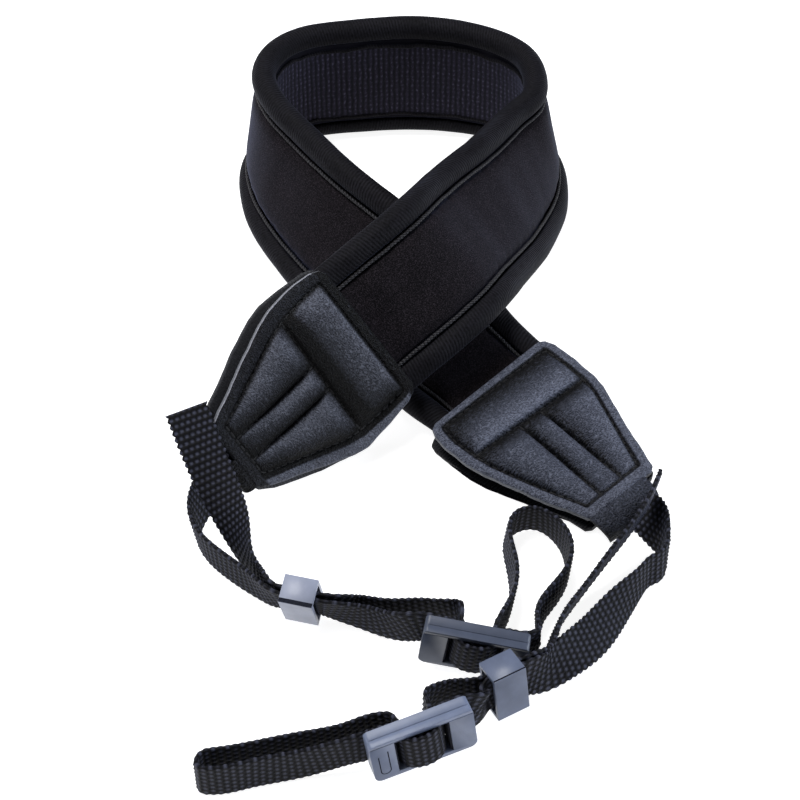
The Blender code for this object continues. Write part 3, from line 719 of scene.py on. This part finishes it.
def webbing_look():
    """Black webbing: its ribs and beads are modelled; their filaments are drawn here, with painted shade in
    the hollows and painted light on the bead tops.
    """
    look = Look("webbing", (0.013, 0.014, 0.019), 0.6, 0.12, 0.03, (0.6, 0.7, 1.0), 0.4)
    u, v = look.mapped()
    rib = look.ripple(u, RIB, math.pi / 2)
    odd = look.math("LESS_THAN", look.math("FLOORED_MODULO", look.scaled(u, 1 / RIB, 0.5), 2.0), 1.0)
    turned = look.scaled(v, TURN / BEAD, look.scaled(odd, -math.pi, math.pi))
    bead = look.scaled(look.math("COSINE", turned), 0.5, 0.5)
    full = look.scaled(look.math("POWER", bead, 0.4), 0.85, 0.15)
    top = look.times(look.math("POWER", rib, 0.45), full)
    slant = look.vector(look.scaled(v, 1.3, look.times(u, 3.2)), look.times(v, 0.6))
    strand = look.noise(slant, 1.6, 3.0, 0.7)
    look.paint(look.times(top, look.scaled(strand, 0.8, 0.5)), (0.30, (0.0010, 0.0010, 0.0018)),
               (0.58, (0.0100, 0.0103, 0.0160)), (0.95, (0.050, 0.054, 0.080)))
    look.bumps((strand, 0.8, 0.18))
    return look.material


def plastic_look(name, colour):
    """Smooth moulded plastic with a fine bloom and faint scuffs."""
    look = Look(name, colour, 0.38, 0.3)
    place = look.body()
    bloom = look.noise(place, 0.25, 3.0)
    scuff = look.noise(place, 6.0, 2.0, 0.6)
    look.paint(bloom, (0.35, tuple(c * 0.85 for c in colour)), (0.65, colour))
    look.roughen(look.scaled(scuff, 0.16, 0.28))
    look.bumps((scuff, 0.15, 0.03))
    return look.material


# ---------------- neck band

def pinch(neck, places):
    """The band's thickness: whole in its free length, and pressed flatter under the patches."""
    start, length, depth = THINNING
    beyond = PATCH_LENGTH - np.minimum(places, neck.length - places)
    pressed = PINCH * (1 - depth * smooth((beyond - start) / length))
    return blend(pressed, 1.0, smooth((-beyond - 1) / PINCH_LENGTH))


def band_places(neck, tuck, step):
    """Places along the free band and a little way under the patches."""
    first, last = PATCH_LENGTH - tuck, neck.length - PATCH_LENGTH + tuck
    return np.linspace(first, last, int((last - first) / step))


def band_skin(name, neck, places, across, out, marks_across, marks_out):
    """A closed strip of the band, pinched under the patches; the marks come from its plain section."""
    pressed = np.broadcast_to(out, (len(places), len(marks_across))) * pinch(neck, places)[:, None]
    points = neck.at(np.broadcast_to(places[:, None], pressed.shape), across, pressed)
    return skin(name, points, strip_marks(places, around_lengths(marks_across, marks_out)))


def panel(neck):
    """The padded outer panel: a low pillow between the two seams, a little puckered beside them."""
    places = band_places(neck, 12, 0.9)
    spread = np.sin(np.linspace(-math.pi / 2, math.pi / 2, PANEL_COLUMNS))
    under, flat = np.linspace(INNER_SEAM, -INNER_SEAM, 5), np.zeros(5)
    across = np.concatenate([PANEL_HALF * spread, under])
    out = np.concatenate([PANEL_CROWN * np.sqrt(1 - np.abs(spread) ** 7), flat - SEAM_HEIGHT])
    near_seam = smooth((np.abs(spread) - 0.72) / 0.2) * (np.abs(spread) < 0.99)
    upper, lower = (waves(places, seed, 7.0, PANEL_PUCKER)[:, None] for seed in (3, 4))
    pucker = np.where(across > 0, upper, lower) * np.concatenate([near_seam, flat])
    swell = np.concatenate([1 - spread ** 2, flat]) * waves(places, 5, 60.0, PANEL_SWELL)[:, None]
    piece = band_skin("panel", neck, places, across, out + pucker + swell, across, out)
    return dress(piece, "jersey", "neck_pad")


def tube(name, neck, places, across, out, radius, sides, squash=1.0):
    """A round cord along the band, its middle at (across, out)."""
    turn = circle(sides)
    ring_across, ring_out = radius * np.sin(turn), radius * squash * np.cos(turn)
    return band_skin(name, neck, places, across[:, None] + ring_across, out[:, None] + ring_out,
                     ring_across, ring_out)


def seams(neck):
    """Beside each roll: a thin twisted cord on the outer face, a wavy fold on the inner one."""
    for side, label in ((1, "upper"), (-1, "lower")):
        across, out, radius = SEAM_CORD
        places = band_places(neck, 6, 0.45)
        across = side * (across + waves(places, 7 + side, 30.0, 0.12))
        beat = 0.07 * np.sin(places * TURN / 1.8)
        dress(tube("seam_cord_" + label, neck, places, across, out + beat, radius, 8), "cord")
        across, out, radius = SEAM_FOLD
        places = band_places(neck, 6, 0.8)
        across = side * (across + waves(places, 11 + side, 26.0, 0.55))
        out = out + waves(places, 15 + side, 17.0, 0.22)
        dress(tube("seam_fold_" + label, neck, places, across, out, radius, 10, 0.8), "edge_jersey")


def rolled_edge(neck, label, side):
    """A full round roll, flat only where it meets the panel's flank."""
    places = band_places(neck, 13, 1.1)
    turn = circle(ROLL_SIDES)
    out = ROLL_RADIUS * np.cos(turn)
    across = BAND_SPAN / 2 + ROLL_RADIUS * np.sin(turn)
    across = np.maximum(across, np.interp(out, *np.transpose(ROLL_FLANK)))
    wander = waves(places, 21 + side, 45.0, 0.12)[:, None] * np.sin(turn).clip(0)
    piece = band_skin("edge_roll_" + label, neck, places, side * (across + wander), out, across, out)
    return dress(piece, "edge_jersey", "edge_binding_" + label)


def lining(neck):
    """The grip mesh: wales across the band and rows of nubs along it, both modelled."""
    places = band_places(neck, 0, WALE / 4)
    face = np.linspace(LINING_HALF, -LINING_HALF, LINING_COLUMNS)
    near = -SEAM_HEIGHT - LINING_GAP
    fall = smooth((np.abs(face) - MESH_HALF) / 1.2)
    across = np.concatenate([face, [-LINING_HALF, LINING_HALF]])
    out = np.concatenate([near - LINING_THICKNESS + 0.7 * fall, [near, near]])
    wale = crests(places, WALE)[:, None]
    nub = crests(face, NUB_ROW)
    knit = np.zeros((len(places), len(across)))
    knit[:, :len(face)] = (WALE_HEIGHT * wale + NUB_HEIGHT * wale * nub) * (1 - fall)
    piece = band_skin("lining", neck, places, across, out - knit, across, out)
    return dress(piece, "grip_mesh", "grip_lining")


# ---------------- patches

def half_width(along):
    return np.interp(along, *np.transpose(PATCH_OUTLINE))


def bed(along):
    """Half the room between a patch's two layers, for the band and then for the webbing."""
    band = ROLL_RADIUS * PINCH + GAP
    sewn = WEBBING_THICKNESS / 2 + GAP
    return blend(band, sewn, smooth((along - BED_START) / BED_LENGTH))


def borders(along, side, layer):
    """The lower and upper border of one layer of a patch."""
    table = np.array(PATCH_REACH[side], float)
    low, high = (np.interp(along, table[:, 0], table[:, column]) for column in layer)
    half = half_width(along)
    return -half - low, half + high


def arch(place, middle, reach):
    """A pillow of height 1 over the middle, and 0 past its reach."""
    return np.clip(1 - ((place - middle) / reach) ** 2, 0, 1) ** 0.6


def groove(distance):
    """A narrow dent of depth 1 along a stitch line."""
    return np.exp(-(distance / DENT_WIDTH) ** 2)


def quilting(along, across, side, filling=1.0, falling=1.0):
    """Height of a patch's puffs, one across it and three along it, and its dents, from 0 to 1."""
    inner = half_width(along) - PATCH_RIM
    away = np.abs(across)
    crossed = np.clip((along - PATCH_RIM) / (PATCH_SEAM - PATCH_RIM), 0, 1) ** CROSS_SKEW[side]
    over = arch(crossed, 0.5, 0.5) * (1 - np.clip(away / inner, 0, 1) ** 8)
    outer = arch(away, (CHANNEL_HALF + inner) / 2, (inner - CHANNEL_HALF) / 2)
    long = np.where(away < CHANNEL_HALF, 0.9 * arch(across, 0, CHANNEL_HALF), outer)
    long = long * smooth((along - PATCH_SEAM) / PUFF_START) ** filling
    long = long * smooth((CHANNEL_END - along) / PUFF_FALL) ** falling
    inside = (away < inner) & (along > PATCH_RIM) & (along < CHANNEL_END)
    height = PUFF_HEIGHT * np.where(along < PATCH_SEAM, over, long) * inside
    sides = inner - away
    ends = np.minimum(np.abs(along - PATCH_RIM), np.abs(along - CHANNEL_END))
    near = (sides > -0.6) & (along > PATCH_RIM - 0.6) & (along < CHANNEL_END + 0.6)
    dent = groove(np.where(near, np.minimum(np.abs(sides), ends), 9))
    dent = dent + groove(along - PATCH_SEAM) * (sides > 0)
    dent = dent + groove(away - CHANNEL_HALF) * (along > PATCH_SEAM) * (along < CHANNEL_END)
    return height, np.clip(dent, 0, 1)


def relief(along, across, side):
    """Height of a patch's face over flat leather: the quilting, and the raised rim round it."""
    low, high = borders(along, side, FRONT)
    height, dent = quilting(along, across, side)
    edge = np.minimum(np.minimum(across - low, high - across), np.minimum(along, PATCH_LENGTH - along))
    rim = RIM_HEIGHT * smooth(edge / 0.7) * smooth(PATCH_RIM + 0.4 - edge)
    return height - DENT_DEPTH * dent + rim - EDGE_DROP * (1 - smooth(edge / 0.5))


def painted_shading(along, across, side):
    """Painted light and shade at each point of a patch's face: crowns and lit flanks light, seams and far
    flanks dark.
    """
    way, over = np.array(LIT_WAY[side]) * 0.7
    (height, dent), (lit, _), (far, _) = (
        quilting(along + step * way, across + step * over, side, QUICK_FILL, QUICK_FALL)
        for step in (0, -1, 1))
    crown = height / PUFF_HEIGHT
    tone = 0.20 + 0.34 * crown + 0.44 * np.tanh(2.4 * (lit - far) / 1.4) - 0.2 * (1 - smooth(crown / 0.25))
    # Painted shadow in the valley beside the cross seam
    tone = tone - SEAM_SHADOW[side] * np.exp(-((along - PATCH_SEAM + 1.6) / 2.3) ** 2)
    # Painted light and shade on the rims, set for each rim
    lower, upper, wide = RIM_TONE[side]
    margin = RIM_INSET[side] * (across < 0)
    outside = np.abs(across) - half_width(along) + PATCH_RIM - 0.4 - margin
    tone = blend(tone, np.where(across > 0, upper, lower), smooth(outside / 0.5))
    tone = blend(tone, wide, smooth((PATCH_RIM - 0.4 - along) / 0.5))
    tone = blend(tone, upper, smooth((along - CHANNEL_END - 0.4) / 0.5))
    # Painted shade in the stitch dents
    return tone * (1 - 0.9 * dent)


class Patch:
    """One end's patch: points over (along, across), out from the band's middle."""

    def __init__(self, neck, side):
        self.neck = neck
        self.side = side

    def ripple(self, along, across):
        """How far the rim stands off its plane, and nothing inside the stitching."""
        free = smooth((np.abs(across) - half_width(along) + PATCH_RIM) / PATCH_RIM)
        return free * waves(along + 40 * np.sign(across), RIM_RIPPLE[self.side], 19.0, 0.35)

    def moved(self, along, across):
        """The quilting as it lies on this patch: its cross seam askew, and the right patch wider below."""
        middle, slant = SEAM_SHIFT[self.side]
        play = np.interp(along, *np.transpose(SEAM_PLAY))
        lowered = np.interp(across / half_width(along), *np.transpose(LOWER_PLAY)) * LOWER_SHIFT[self.side]
        return along + play * (middle + slant * across), across + lowered * (0.65 + 0.35 * smooth(along / 10))

    def point(self, along, across, out):
        """Points of the patch in space, none of them below the surface that the strap rests on."""
        along, across, out = np.broadcast_arrays(along, across, out)
        along, across = self.moved(along, across)
        place = PATCH_LENGTH - along if self.side == "left" else self.neck.length - PATCH_LENGTH + along
        points = self.neck.at(place, across, out)
        points[..., 2] = np.maximum(points[..., 2], 0.05 - SHIFT[2])
        return points

    def face(self, along, across):
        """Height of the front face over the band's middle."""
        return bed(along) + PATCH_THICKNESS + relief(along, across, self.side) + self.ripple(along, across)


def patch_front(patch):
    """The quilted leather: its face, cut edges and back in one closed skin."""
    along = np.linspace(0, PATCH_LENGTH, FACE_ROWS)[:, None]
    low, high = borders(along, patch.side, FRONT)
    edge, sink = np.ones(3), np.array([0.35, 0.7, 1.0])
    spread = np.concatenate([np.linspace(-1, 1, FACE_COLUMNS), edge, [0.6, 0.2, -0.2, -0.6], -edge])
    depth = np.concatenate([np.zeros(FACE_COLUMNS), sink, np.ones(4), sink[::-1]])
    across = (low + high) / 2 + (high - low) / 2 * spread
    near = bed(along) + patch.ripple(along, across)
    points = patch.point(along, across, blend(patch.face(along, across), near, depth))
    marks = np.stack(np.broadcast_arrays(along, np.hstack([across, across[:, :1]])), -1)
    # The face's painted light and shade; the skin's cut edges and back get a fixed dark tone
    shades = np.where(depth > 0, 0.1, painted_shading(along, across, patch.side))
    piece = skin(patch.side + "_patch", points, marks, shades)
    piece.data.set_sharp_from_angle(angle=math.radians(60))
    dress(piece, patch.side + "_leather", patch.side + "_patch_front")


def cut_edge(patch):
    """The lighter raw edge of the leather, a hair wider than the leather itself."""
    along = np.linspace(0, PATCH_LENGTH, FACE_ROWS)
    low, high = borders(along, patch.side, FRONT)
    ring = np.vstack([np.stack([along, low], -1)[::-1], np.stack([along, high], -1)])
    along, across = ring[:, :1], ring[:, 1:]
    beyond = across + np.sign(across) * 0.07
    low = bed(along) + patch.ripple(along, across)
    high = low + PATCH_THICKNESS
    out = np.hstack([low + 0.1, low + 0.18, high - 0.42, high - 0.3])
    points = patch.point(along, np.hstack([across, beyond, beyond, across]), out)
    marks = strip_marks(np.arange(len(ring)) * 0.35, np.array([0, 0.1, 1.2, 1.3, 2.6]))
    dress(skin(patch.side + "_patch_edge", points, marks), "raw_edge")


def painted_highlight_edge(patch):
    """The bright line along the left patch's upper cut rim: a painted highlight where the edge catches the
    light.
    """
    along = np.linspace(3, 49, 100)[:, None]
    high = borders(along, patch.side, FRONT)[1]
    turn = circle(6)
    out = patch.face(along, high - 0.12) + 0.1 + 0.15 * np.cos(turn)
    points = patch.point(along, high - 0.02 + 0.15 * np.sin(turn), out)
    dress(skin("left_patch_cut_edge", points, strip_marks(along[:, 0], np.arange(7) * 0.3)), "painted_highlight_edge")


def patch_back(patch):
    """The plain layer behind, its border rolled over and a little wider than the front."""
    along = np.linspace(0, PATCH_LENGTH + BACK_TIP, BACK_ROWS)[:, None]
    low, high = borders(along, patch.side, BACK)
    low = low + BACK_TUCK[patch.side] * np.sin(math.pi * np.clip(along / PATCH_LENGTH, 0, 1))
    reach, radius = half_width(along), PATCH_THICKNESS / 2
    turn = np.linspace(-math.pi / 2, math.pi / 2, 9)
    flat, level = np.linspace(-0.96, 0.96, 13), np.ones(13)
    across = np.hstack([reach * flat, high - radius + radius * np.cos(turn), reach * flat[::-1],
                        low + radius - radius * np.cos(turn)])
    section = np.concatenate([-level, np.sin(turn), level, -np.sin(turn)])
    sag = BACK_SAG[patch.side] * smooth((along - 12) / 30) * smooth((-across / reach - 0.35) / 0.65)
    out = -bed(along) - radius + radius * section - sag + patch.ripple(along, across) * 0.6
    marks = strip_marks(along[:, 0], around_lengths(across[60], out[60]))
    piece = skin(patch.side + "_patch_backing", patch.point(along, across, out), marks)
    piece.data.set_sharp_from_angle(angle=math.radians(60))
    dress(piece, "backing", patch.side + "_patch_back", look=patch.side + "_backing")


def flap(patch):
    """The leather beyond a patch's stitched tip, turned down over the webbing's root."""
    reach, drop, (low, high), light = FLAPS[patch.side]
    tip = patch.point(PATCH_LENGTH - 0.3, 0.0, 0.0)
    onward = unit(tip - patch.point(PATCH_LENGTH - 3.0, 0.0, 0.0))
    root = patch.point(PATCH_LENGTH, 0.0, 0.0)
    side, up = patch.point(PATCH_LENGTH, 1.0, 0.0) - root, patch.point(PATCH_LENGTH, 0.0, 1.0) - root
    t, s = np.linspace(0, 1, 16)[:, None], np.linspace(-1, 1, 25)  # down the flap, and over its width
    across = (low + high) / 2 + (high - low) / 2 * s * (1 - 0.12 * t ** 2)
    bulge = 0.5 * np.sin(math.pi * t) + 0.35 * s * s * t
    lift = bed(PATCH_LENGTH) + PATCH_THICKNESS - drop * t ** 1.4 + bulge
    ahead = reach * np.sin(t * math.pi / 2) + 0.3 * np.sin(3.5 * s + 2.0) * t
    top = tip + onward * ahead[..., None] + side * across[..., None] + up * lift[..., None]
    under = top - up * 0.96 - onward * 0.36 * t[..., None]
    points = np.concatenate([top, under[:, ::-1]], 1)
    marks = strip_marks(PATCH_LENGTH + t[:, 0] * reach, np.append(np.tile(s * (high - low) / 2, 2), -high))
    # Painted shade: the flap darker towards its lower end and varying across it; its underside a fixed dark
    # tone
    face = light * (1 - 0.7 * t) - 0.1 * np.cos(6 * s) * t
    shades = np.hstack([face, np.full_like(face, 0.1)])
    dress(skin(patch.side + "_patch_flap", points, marks, shades), patch.side + "_leather")


def stitch_lines():
    """The quilting of a patch as rows of (along, across)."""
    along = np.linspace(PATCH_RIM, CHANNEL_END, 60)
    inner = half_width(along) - PATCH_RIM
    tip, wide = inner[-1], inner[0]
    border = list(zip(along, -inner))
    border += [(CHANNEL_END, c) for c in np.linspace(-tip, tip, 12)[1:-1]]
    border += list(zip(along[::-1], inner[::-1]))
    border += [(PATCH_RIM, c) for c in np.linspace(wide, -wide, 30)[1:]]
    seam = half_width(PATCH_SEAM) - PATCH_RIM
    over = [(PATCH_SEAM, c) for c in np.linspace(-seam, seam, 40)]
    long = [[(a, c) for a in np.linspace(PATCH_SEAM, CHANNEL_END, 30)] for c in (-CHANNEL_HALF, CHANNEL_HALF)]
    return [border, over, *long]


def stitches(patch):
    """A row of short thread stitches sunk in every stitched line."""
    starts, ends, outs = [], [], []
    for line in stitch_lines():
        knots = chords(line)
        count = int(knots[-1] / STITCH_PITCH)
        centres = (np.arange(count) + 0.5) * knots[-1] / count
        for shift, store in ((-0.5, starts), (0.5, ends)):
            along, across = read(centres + shift * STITCH_LENGTH, knots, line).T
            store.append(patch.point(along, across, patch.face(along, across) + STITCH_RISE))
        along, across = read(centres, knots, line).T
        outs.append(patch.point(along, across, 1.0) - patch.point(along, across, 0.0))
    piece = beads(patch.side + "_patch_stitches", *(np.vstack(rows) for rows in (starts, ends, outs)))
    dress(piece, "thread")


def beads(name, starts, ends, outs):
    """One mesh of small rounded bars, each from a start to an end."""
    along = (ends - starts)[:, None, None]
    side = unit(np.cross(outs, ends - starts))
    outs = np.cross(unit(ends - starts), side)[:, None, None]
    stops, girth = np.transpose(BEAD_PROFILE)
    turn = circle(8)
    wide = np.outer(girth, np.sin(turn)) * STITCH_WIDTH / 2
    tall = np.outer(girth, np.cos(turn)) * STITCH_HEIGHT / 2
    points = (((starts + ends) / 2)[:, None, None] + along * stops[:, None, None]
              + side[:, None, None] * wide[..., None] + outs * tall[..., None])
    count, rows, sides = points.shape[:3]
    size = rows * sides
    bar = [(r + c, r + sides + c, r + sides + (c + 1) % sides, r + (c + 1) % sides)
           for r in range(0, size - sides, sides) for c in range(sides)]
    bar += [tuple(range(sides)), tuple(range(size - sides, size))[::-1]]
    faces = [[first + corner for corner in face] for first in range(0, count * size, size) for face in bar]
    piece = linked(name, shifted(points), faces)
    piece.data.uv_layers.new(name="strip")
    piece.data.shade_smooth()
    return piece


# ---------------- webbing

def webbing(neck, side):
    """Narrow webbing with its ribs, beads and scalloped edges modelled."""
    ribbon = webbing_ribbon(webbing_stations(neck, side))
    places = np.linspace(0, ribbon.length, int(ribbon.length / (RIB / 4)))[:, None]
    half, thick = WEBBING_WIDTH / 2 - 0.25, WEBBING_THICKNESS / 2
    flat = np.linspace(-half, half, 27)
    bend = np.linspace(0, math.pi, 5)[1:-1]
    parity = np.where(np.round(places / RIB) % 2 == 0, 0.0, math.pi)
    rib = crests(places, RIB) ** 0.7
    bead = crests(flat, BEAD, parity) ** 0.7
    crest = thick + 0.1
    top = crest - RIB_DEPTH * (1 - rib) - BEAD_DEPTH * (1 - bead) * rib
    under = -(crest - RIB_DEPTH * rib - BEAD_DEPTH * bead[:, ::-1] * (1 - rib))
    face = np.broadcast_to(flat, top.shape)
    edge = half + (0.12 + 0.6 * rib) * np.sin(bend)
    edge_out = thick * 0.8 * np.cos(bend) * np.ones_like(edge)
    across = np.hstack([face, edge, face[:, ::-1], -edge])
    out = np.hstack([top, edge_out, under[:, ::-1], -edge_out])
    points = ribbon.at(np.broadcast_to(places, across.shape), across, out)
    marks = strip_marks(places[:, 0], np.append(across[0], across[0, 0]))
    dress(skin(side + "_strap", points, marks), "webbing", side + "_webbing")


# ---------------- hardware

def block(name, size, matrix, offset=(0, 0, 0), corners=(0.0, 0.0)):
    """A block in a piece of hardware's own frame; corners are the radii of its lower and upper corners."""
    length, depth, tall = size
    outline = []
    for sign_x, sign_z, first in ((1, -1, 270), (1, 1, 0), (-1, 1, 90), (-1, -1, 180)):
        radius = corners[0] if sign_z < 0 else corners[1]
        steps = 7 if radius else 1
        for k in range(steps):
            turn = math.radians(first + 90 * k / max(steps - 1, 1))
            outline.append((sign_x * (length / 2 - radius) + radius * math.cos(turn),
                            sign_z * (tall / 2 - radius) + radius * math.sin(turn)))
    count = len(outline)
    points = np.array([(x, y, z) for y in (-depth / 2, depth / 2) for x, z in outline]) + offset
    faces = [tuple(range(count)), tuple(range(count, 2 * count))[::-1]]
    faces += [(k, k + count, (k + 1) % count + count, (k + 1) % count) for k in range(count)]
    piece = linked(name, points * MM, faces)
    piece.matrix_world = Matrix.Translation(SHIFT * MM) @ matrix
    return piece


def finished(piece, cutters, bevel):
    """Cuts and bevels applied to the mesh, and the cutters removed."""
    for cutter in cutters:
        hole = piece.modifiers.new("cut", "BOOLEAN")
        hole.operation = "DIFFERENCE"
        hole.solver = "EXACT"
        hole.object = cutter
    rounded = piece.modifiers.new("rounded", "BEVEL")
    rounded.width, rounded.segments = bevel * MM, 2
    rounded.limit_method = "ANGLE"
    rounded.angle_limit = math.radians(35)
    rounded.harden_normals = True
    bpy.context.view_layer.update()
    done = bpy.data.meshes.new_from_object(piece.evaluated_get(bpy.context.evaluated_depsgraph_get()))
    piece.modifiers.clear()
    piece.data = done
    done.shade_smooth()
    done.set_sharp_from_angle(angle=math.radians(40))
    for cutter in cutters:
        bpy.data.objects.remove(cutter)


def keeper(name):
    """A box that the webbing runs through, and a dark strip along the front edge of its upper face: a painted
    shadow line.
    """
    matrix = Hardware(name).matrix()
    length, through, tall = KEEPER_SIZE
    body = block(name + "_shell", KEEPER_SIZE, matrix)
    hollow = block("cutter", (CUT_DEPTH, through - 2 * KEEPER_WALL, tall - 2 * KEEPER_WALL), matrix)
    finished(body, [hollow], KEEPER_BEVEL)
    dress(body, "hardware", name, look=name)
    line = KEEPER_SHADOW_LINE[name]
    strip = block(name + "_line", (length - 0.1, line, 0.1), matrix,
                  (0, -through / 2 + 0.1 + line / 2, tall / 2 - 0.03))
    dress(strip, "hardware_shadow")


def buckle(name):
    """A plate with two slots and a bar between them, a bevelled top lip and two fine grooves."""
    matrix = Hardware(name).matrix()
    depth, tall = BUCKLE_SIZE[1:]
    high = tall - 2 * BUCKLE_RAIL
    slot = BUCKLE_WINDOW / 2 - BAR_HALF
    lip_edge = Matrix.Translation((0, -depth / 2 * MM, tall / 2 * MM))
    lip_edge = lip_edge @ Matrix.Rotation(math.radians(45), 4, "X")
    cutters = []

    def cut(size, offset, frame=matrix):
        cutters.append(block("cutter", size, frame, offset))

    body = block(name + "_body", BUCKLE_SIZE, matrix, corners=BUCKLE_CORNERS)
    for side in (-1, 1):
        cut((slot, CUT_DEPTH, high), (side * (BAR_HALF + slot / 2), 0, 0))
    for out, side in ((BAR_FRONT, -1), (BAR_BACK, 1)):
        cut((4 * BAR_HALF, CUT_DEPTH, high), (0, -out + side * CUT_DEPTH / 2, 0))
    cut((2 * CUT_DEPTH, BUCKLE_LIP, BUCKLE_LIP), (0, -BUCKLE_LIP / 2, BUCKLE_LIP / 2), matrix @ lip_edge)
    # Two grooves, in the front face and in the top one
    cut((2 * CUT_DEPTH, 0.4, 0.22), (0, -depth / 2, tall / 2 - 1.15))
    cut((2 * CUT_DEPTH, 0.22, 0.3), (0, -0.35, tall / 2))
    finished(body, cutters, BUCKLE_BEVEL)
    for end in (-1, 1):
        inside = block(name + "_slot_shade", (0.5, depth - 0.8, high + 0.2), matrix,
                       (end * (BUCKLE_WINDOW / 2 - 0.2), 0, 0))
        dress(inside, "hardware_shadow")
    dress(body, "hardware", name, look=name)


def moulded_outline(name):
    """The thin rounded outline moulded in the buckle's left end plate."""
    held = Hardware(name)
    left, right, top, low = OUTLINE_BOX
    middle, radius = (left + right) / 2, (right - left) / 2
    turn = np.linspace(0, math.pi, 13)
    rounded = np.stack([middle - radius * np.cos(turn), low - radius * np.sin(turn)], -1)
    path = np.vstack([[(left, top - 1.2), (left, low)], rounded, [(right, low), (right, top)]])
    face = held.centre + held.out * BUCKLE_SIZE[1] / 2
    points = face + held.along * path[:, :1] + held.across * path[:, 1:]
    side = unit(np.cross(held.out, unit(np.gradient(points, axis=0))))
    ring = circle(6)[:, None]
    thread = points[:, None] + side[:, None] * 0.13 * np.cos(ring) + held.out * 0.06 * np.sin(ring)
    piece = skin(name + "_outline", thread, strip_marks(np.arange(len(path)), np.arange(7)))
    dress(piece, "hardware_shadow")


# ---------------- scene

def camera():
    """The photograph's view: down at the elevation, at its distance from the point in its middle."""
    down = math.radians(VIEW_ELEVATION)
    data = bpy.data.cameras.new("view")
    data.sensor_width = VIEW_SENSOR
    data.lens = VIEW_LENS
    data.clip_start, data.clip_end = 0.01, 20.0
    eye = bpy.data.objects.new("view", data)
    eye.location = shifted(np.array([0.0, -math.cos(down), math.sin(down)]) * VIEW_DISTANCE)
    eye.rotation_euler = (math.pi / 2 - down, 0, 0)
    bpy.context.scene.collection.objects.link(eye)
    bpy.context.scene.camera = eye


def softbox(name, place, size, power, colour):
    data = bpy.data.lights.new(name, "AREA")
    data.shape = "RECTANGLE"
    data.size, data.size_y = size
    data.energy = power
    data.color = colour
    lamp = bpy.data.objects.new(name, data)
    lamp.location = place
    lamp.rotation_euler = (-Vector(place)).to_track_quat("-Z", "Y").to_euler()
    bpy.context.scene.collection.objects.link(lamp)


def studio():
    """A pale floor and large soft lights."""
    reach = 4.0
    corners = [(-reach, -reach, 0), (reach, -reach, 0), (reach, reach, 0), (-reach, reach, 0)]
    floor = linked("floor", corners, [(0, 1, 2, 3)])
    floor.location.z = -FLOOR_DROP
    look = Look("floor", (0.5, 0.5, 0.505), 0.7, 0.1)
    look.shader.inputs["Emission Color"].default_value = (1, 1, 1, 1)
    look.shader.inputs["Emission Strength"].default_value = FLOOR_GLOW
    floor.data.materials.append(look.material)
    world = bpy.data.worlds.new("studio")
    world.use_nodes = True
    background = world.node_tree.nodes["Background"]
    background.inputs["Color"].default_value = (0.97, 0.98, 1.0, 1)
    background.inputs["Strength"].default_value = WORLD_STRENGTH
    bpy.context.scene.world = world
    bpy.context.scene.view_settings.view_transform = "Standard"
    for row in LIGHTS:
        softbox(*row)


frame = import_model()
# From the tables' origin to the frame's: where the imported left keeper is, and where the table has it
SHIFT = np.mean(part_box("left_keeper"), axis=0) / MM - HARDWARE["left_keeper"][:3]
LOOKS = {
    "jersey": jersey_look(),
    "edge_jersey": edge_look(),
    "grip_mesh": mesh_look(),
    "cord": cord_look(),
    "thread": thread_look(),
    "webbing": webbing_look(),
}
LOOKS.update({name: leather_look(name, *shades) for name, shades in LEATHER.items()})
LOOKS.update({name: plain_leather_look(name, *row) for name, row in PLAIN_LEATHER.items()})
LOOKS.update({name: plastic_look(name + "_plastic", colour) for name, colour in HARDWARE_COLOUR_AND_PAINTED_LIGHT.items()})
studio()
camera()
neck = neck_ribbon()
panel(neck)
seams(neck)
rolled_edge(neck, "upper", 1)
rolled_edge(neck, "lower", -1)
lining(neck)
for end in ("left", "right"):
    patch = Patch(neck, end)
    patch_front(patch)
    cut_edge(patch)
    if end == "left":
        painted_highlight_edge(patch)
    patch_back(patch)
    stitches(patch)
    keeper(end + "_keeper")
    buckle(end + "_buckle")
    flap(patch)
moulded_outline("right_buckle")
webbing(neck, "left")
webbing(neck, "right")
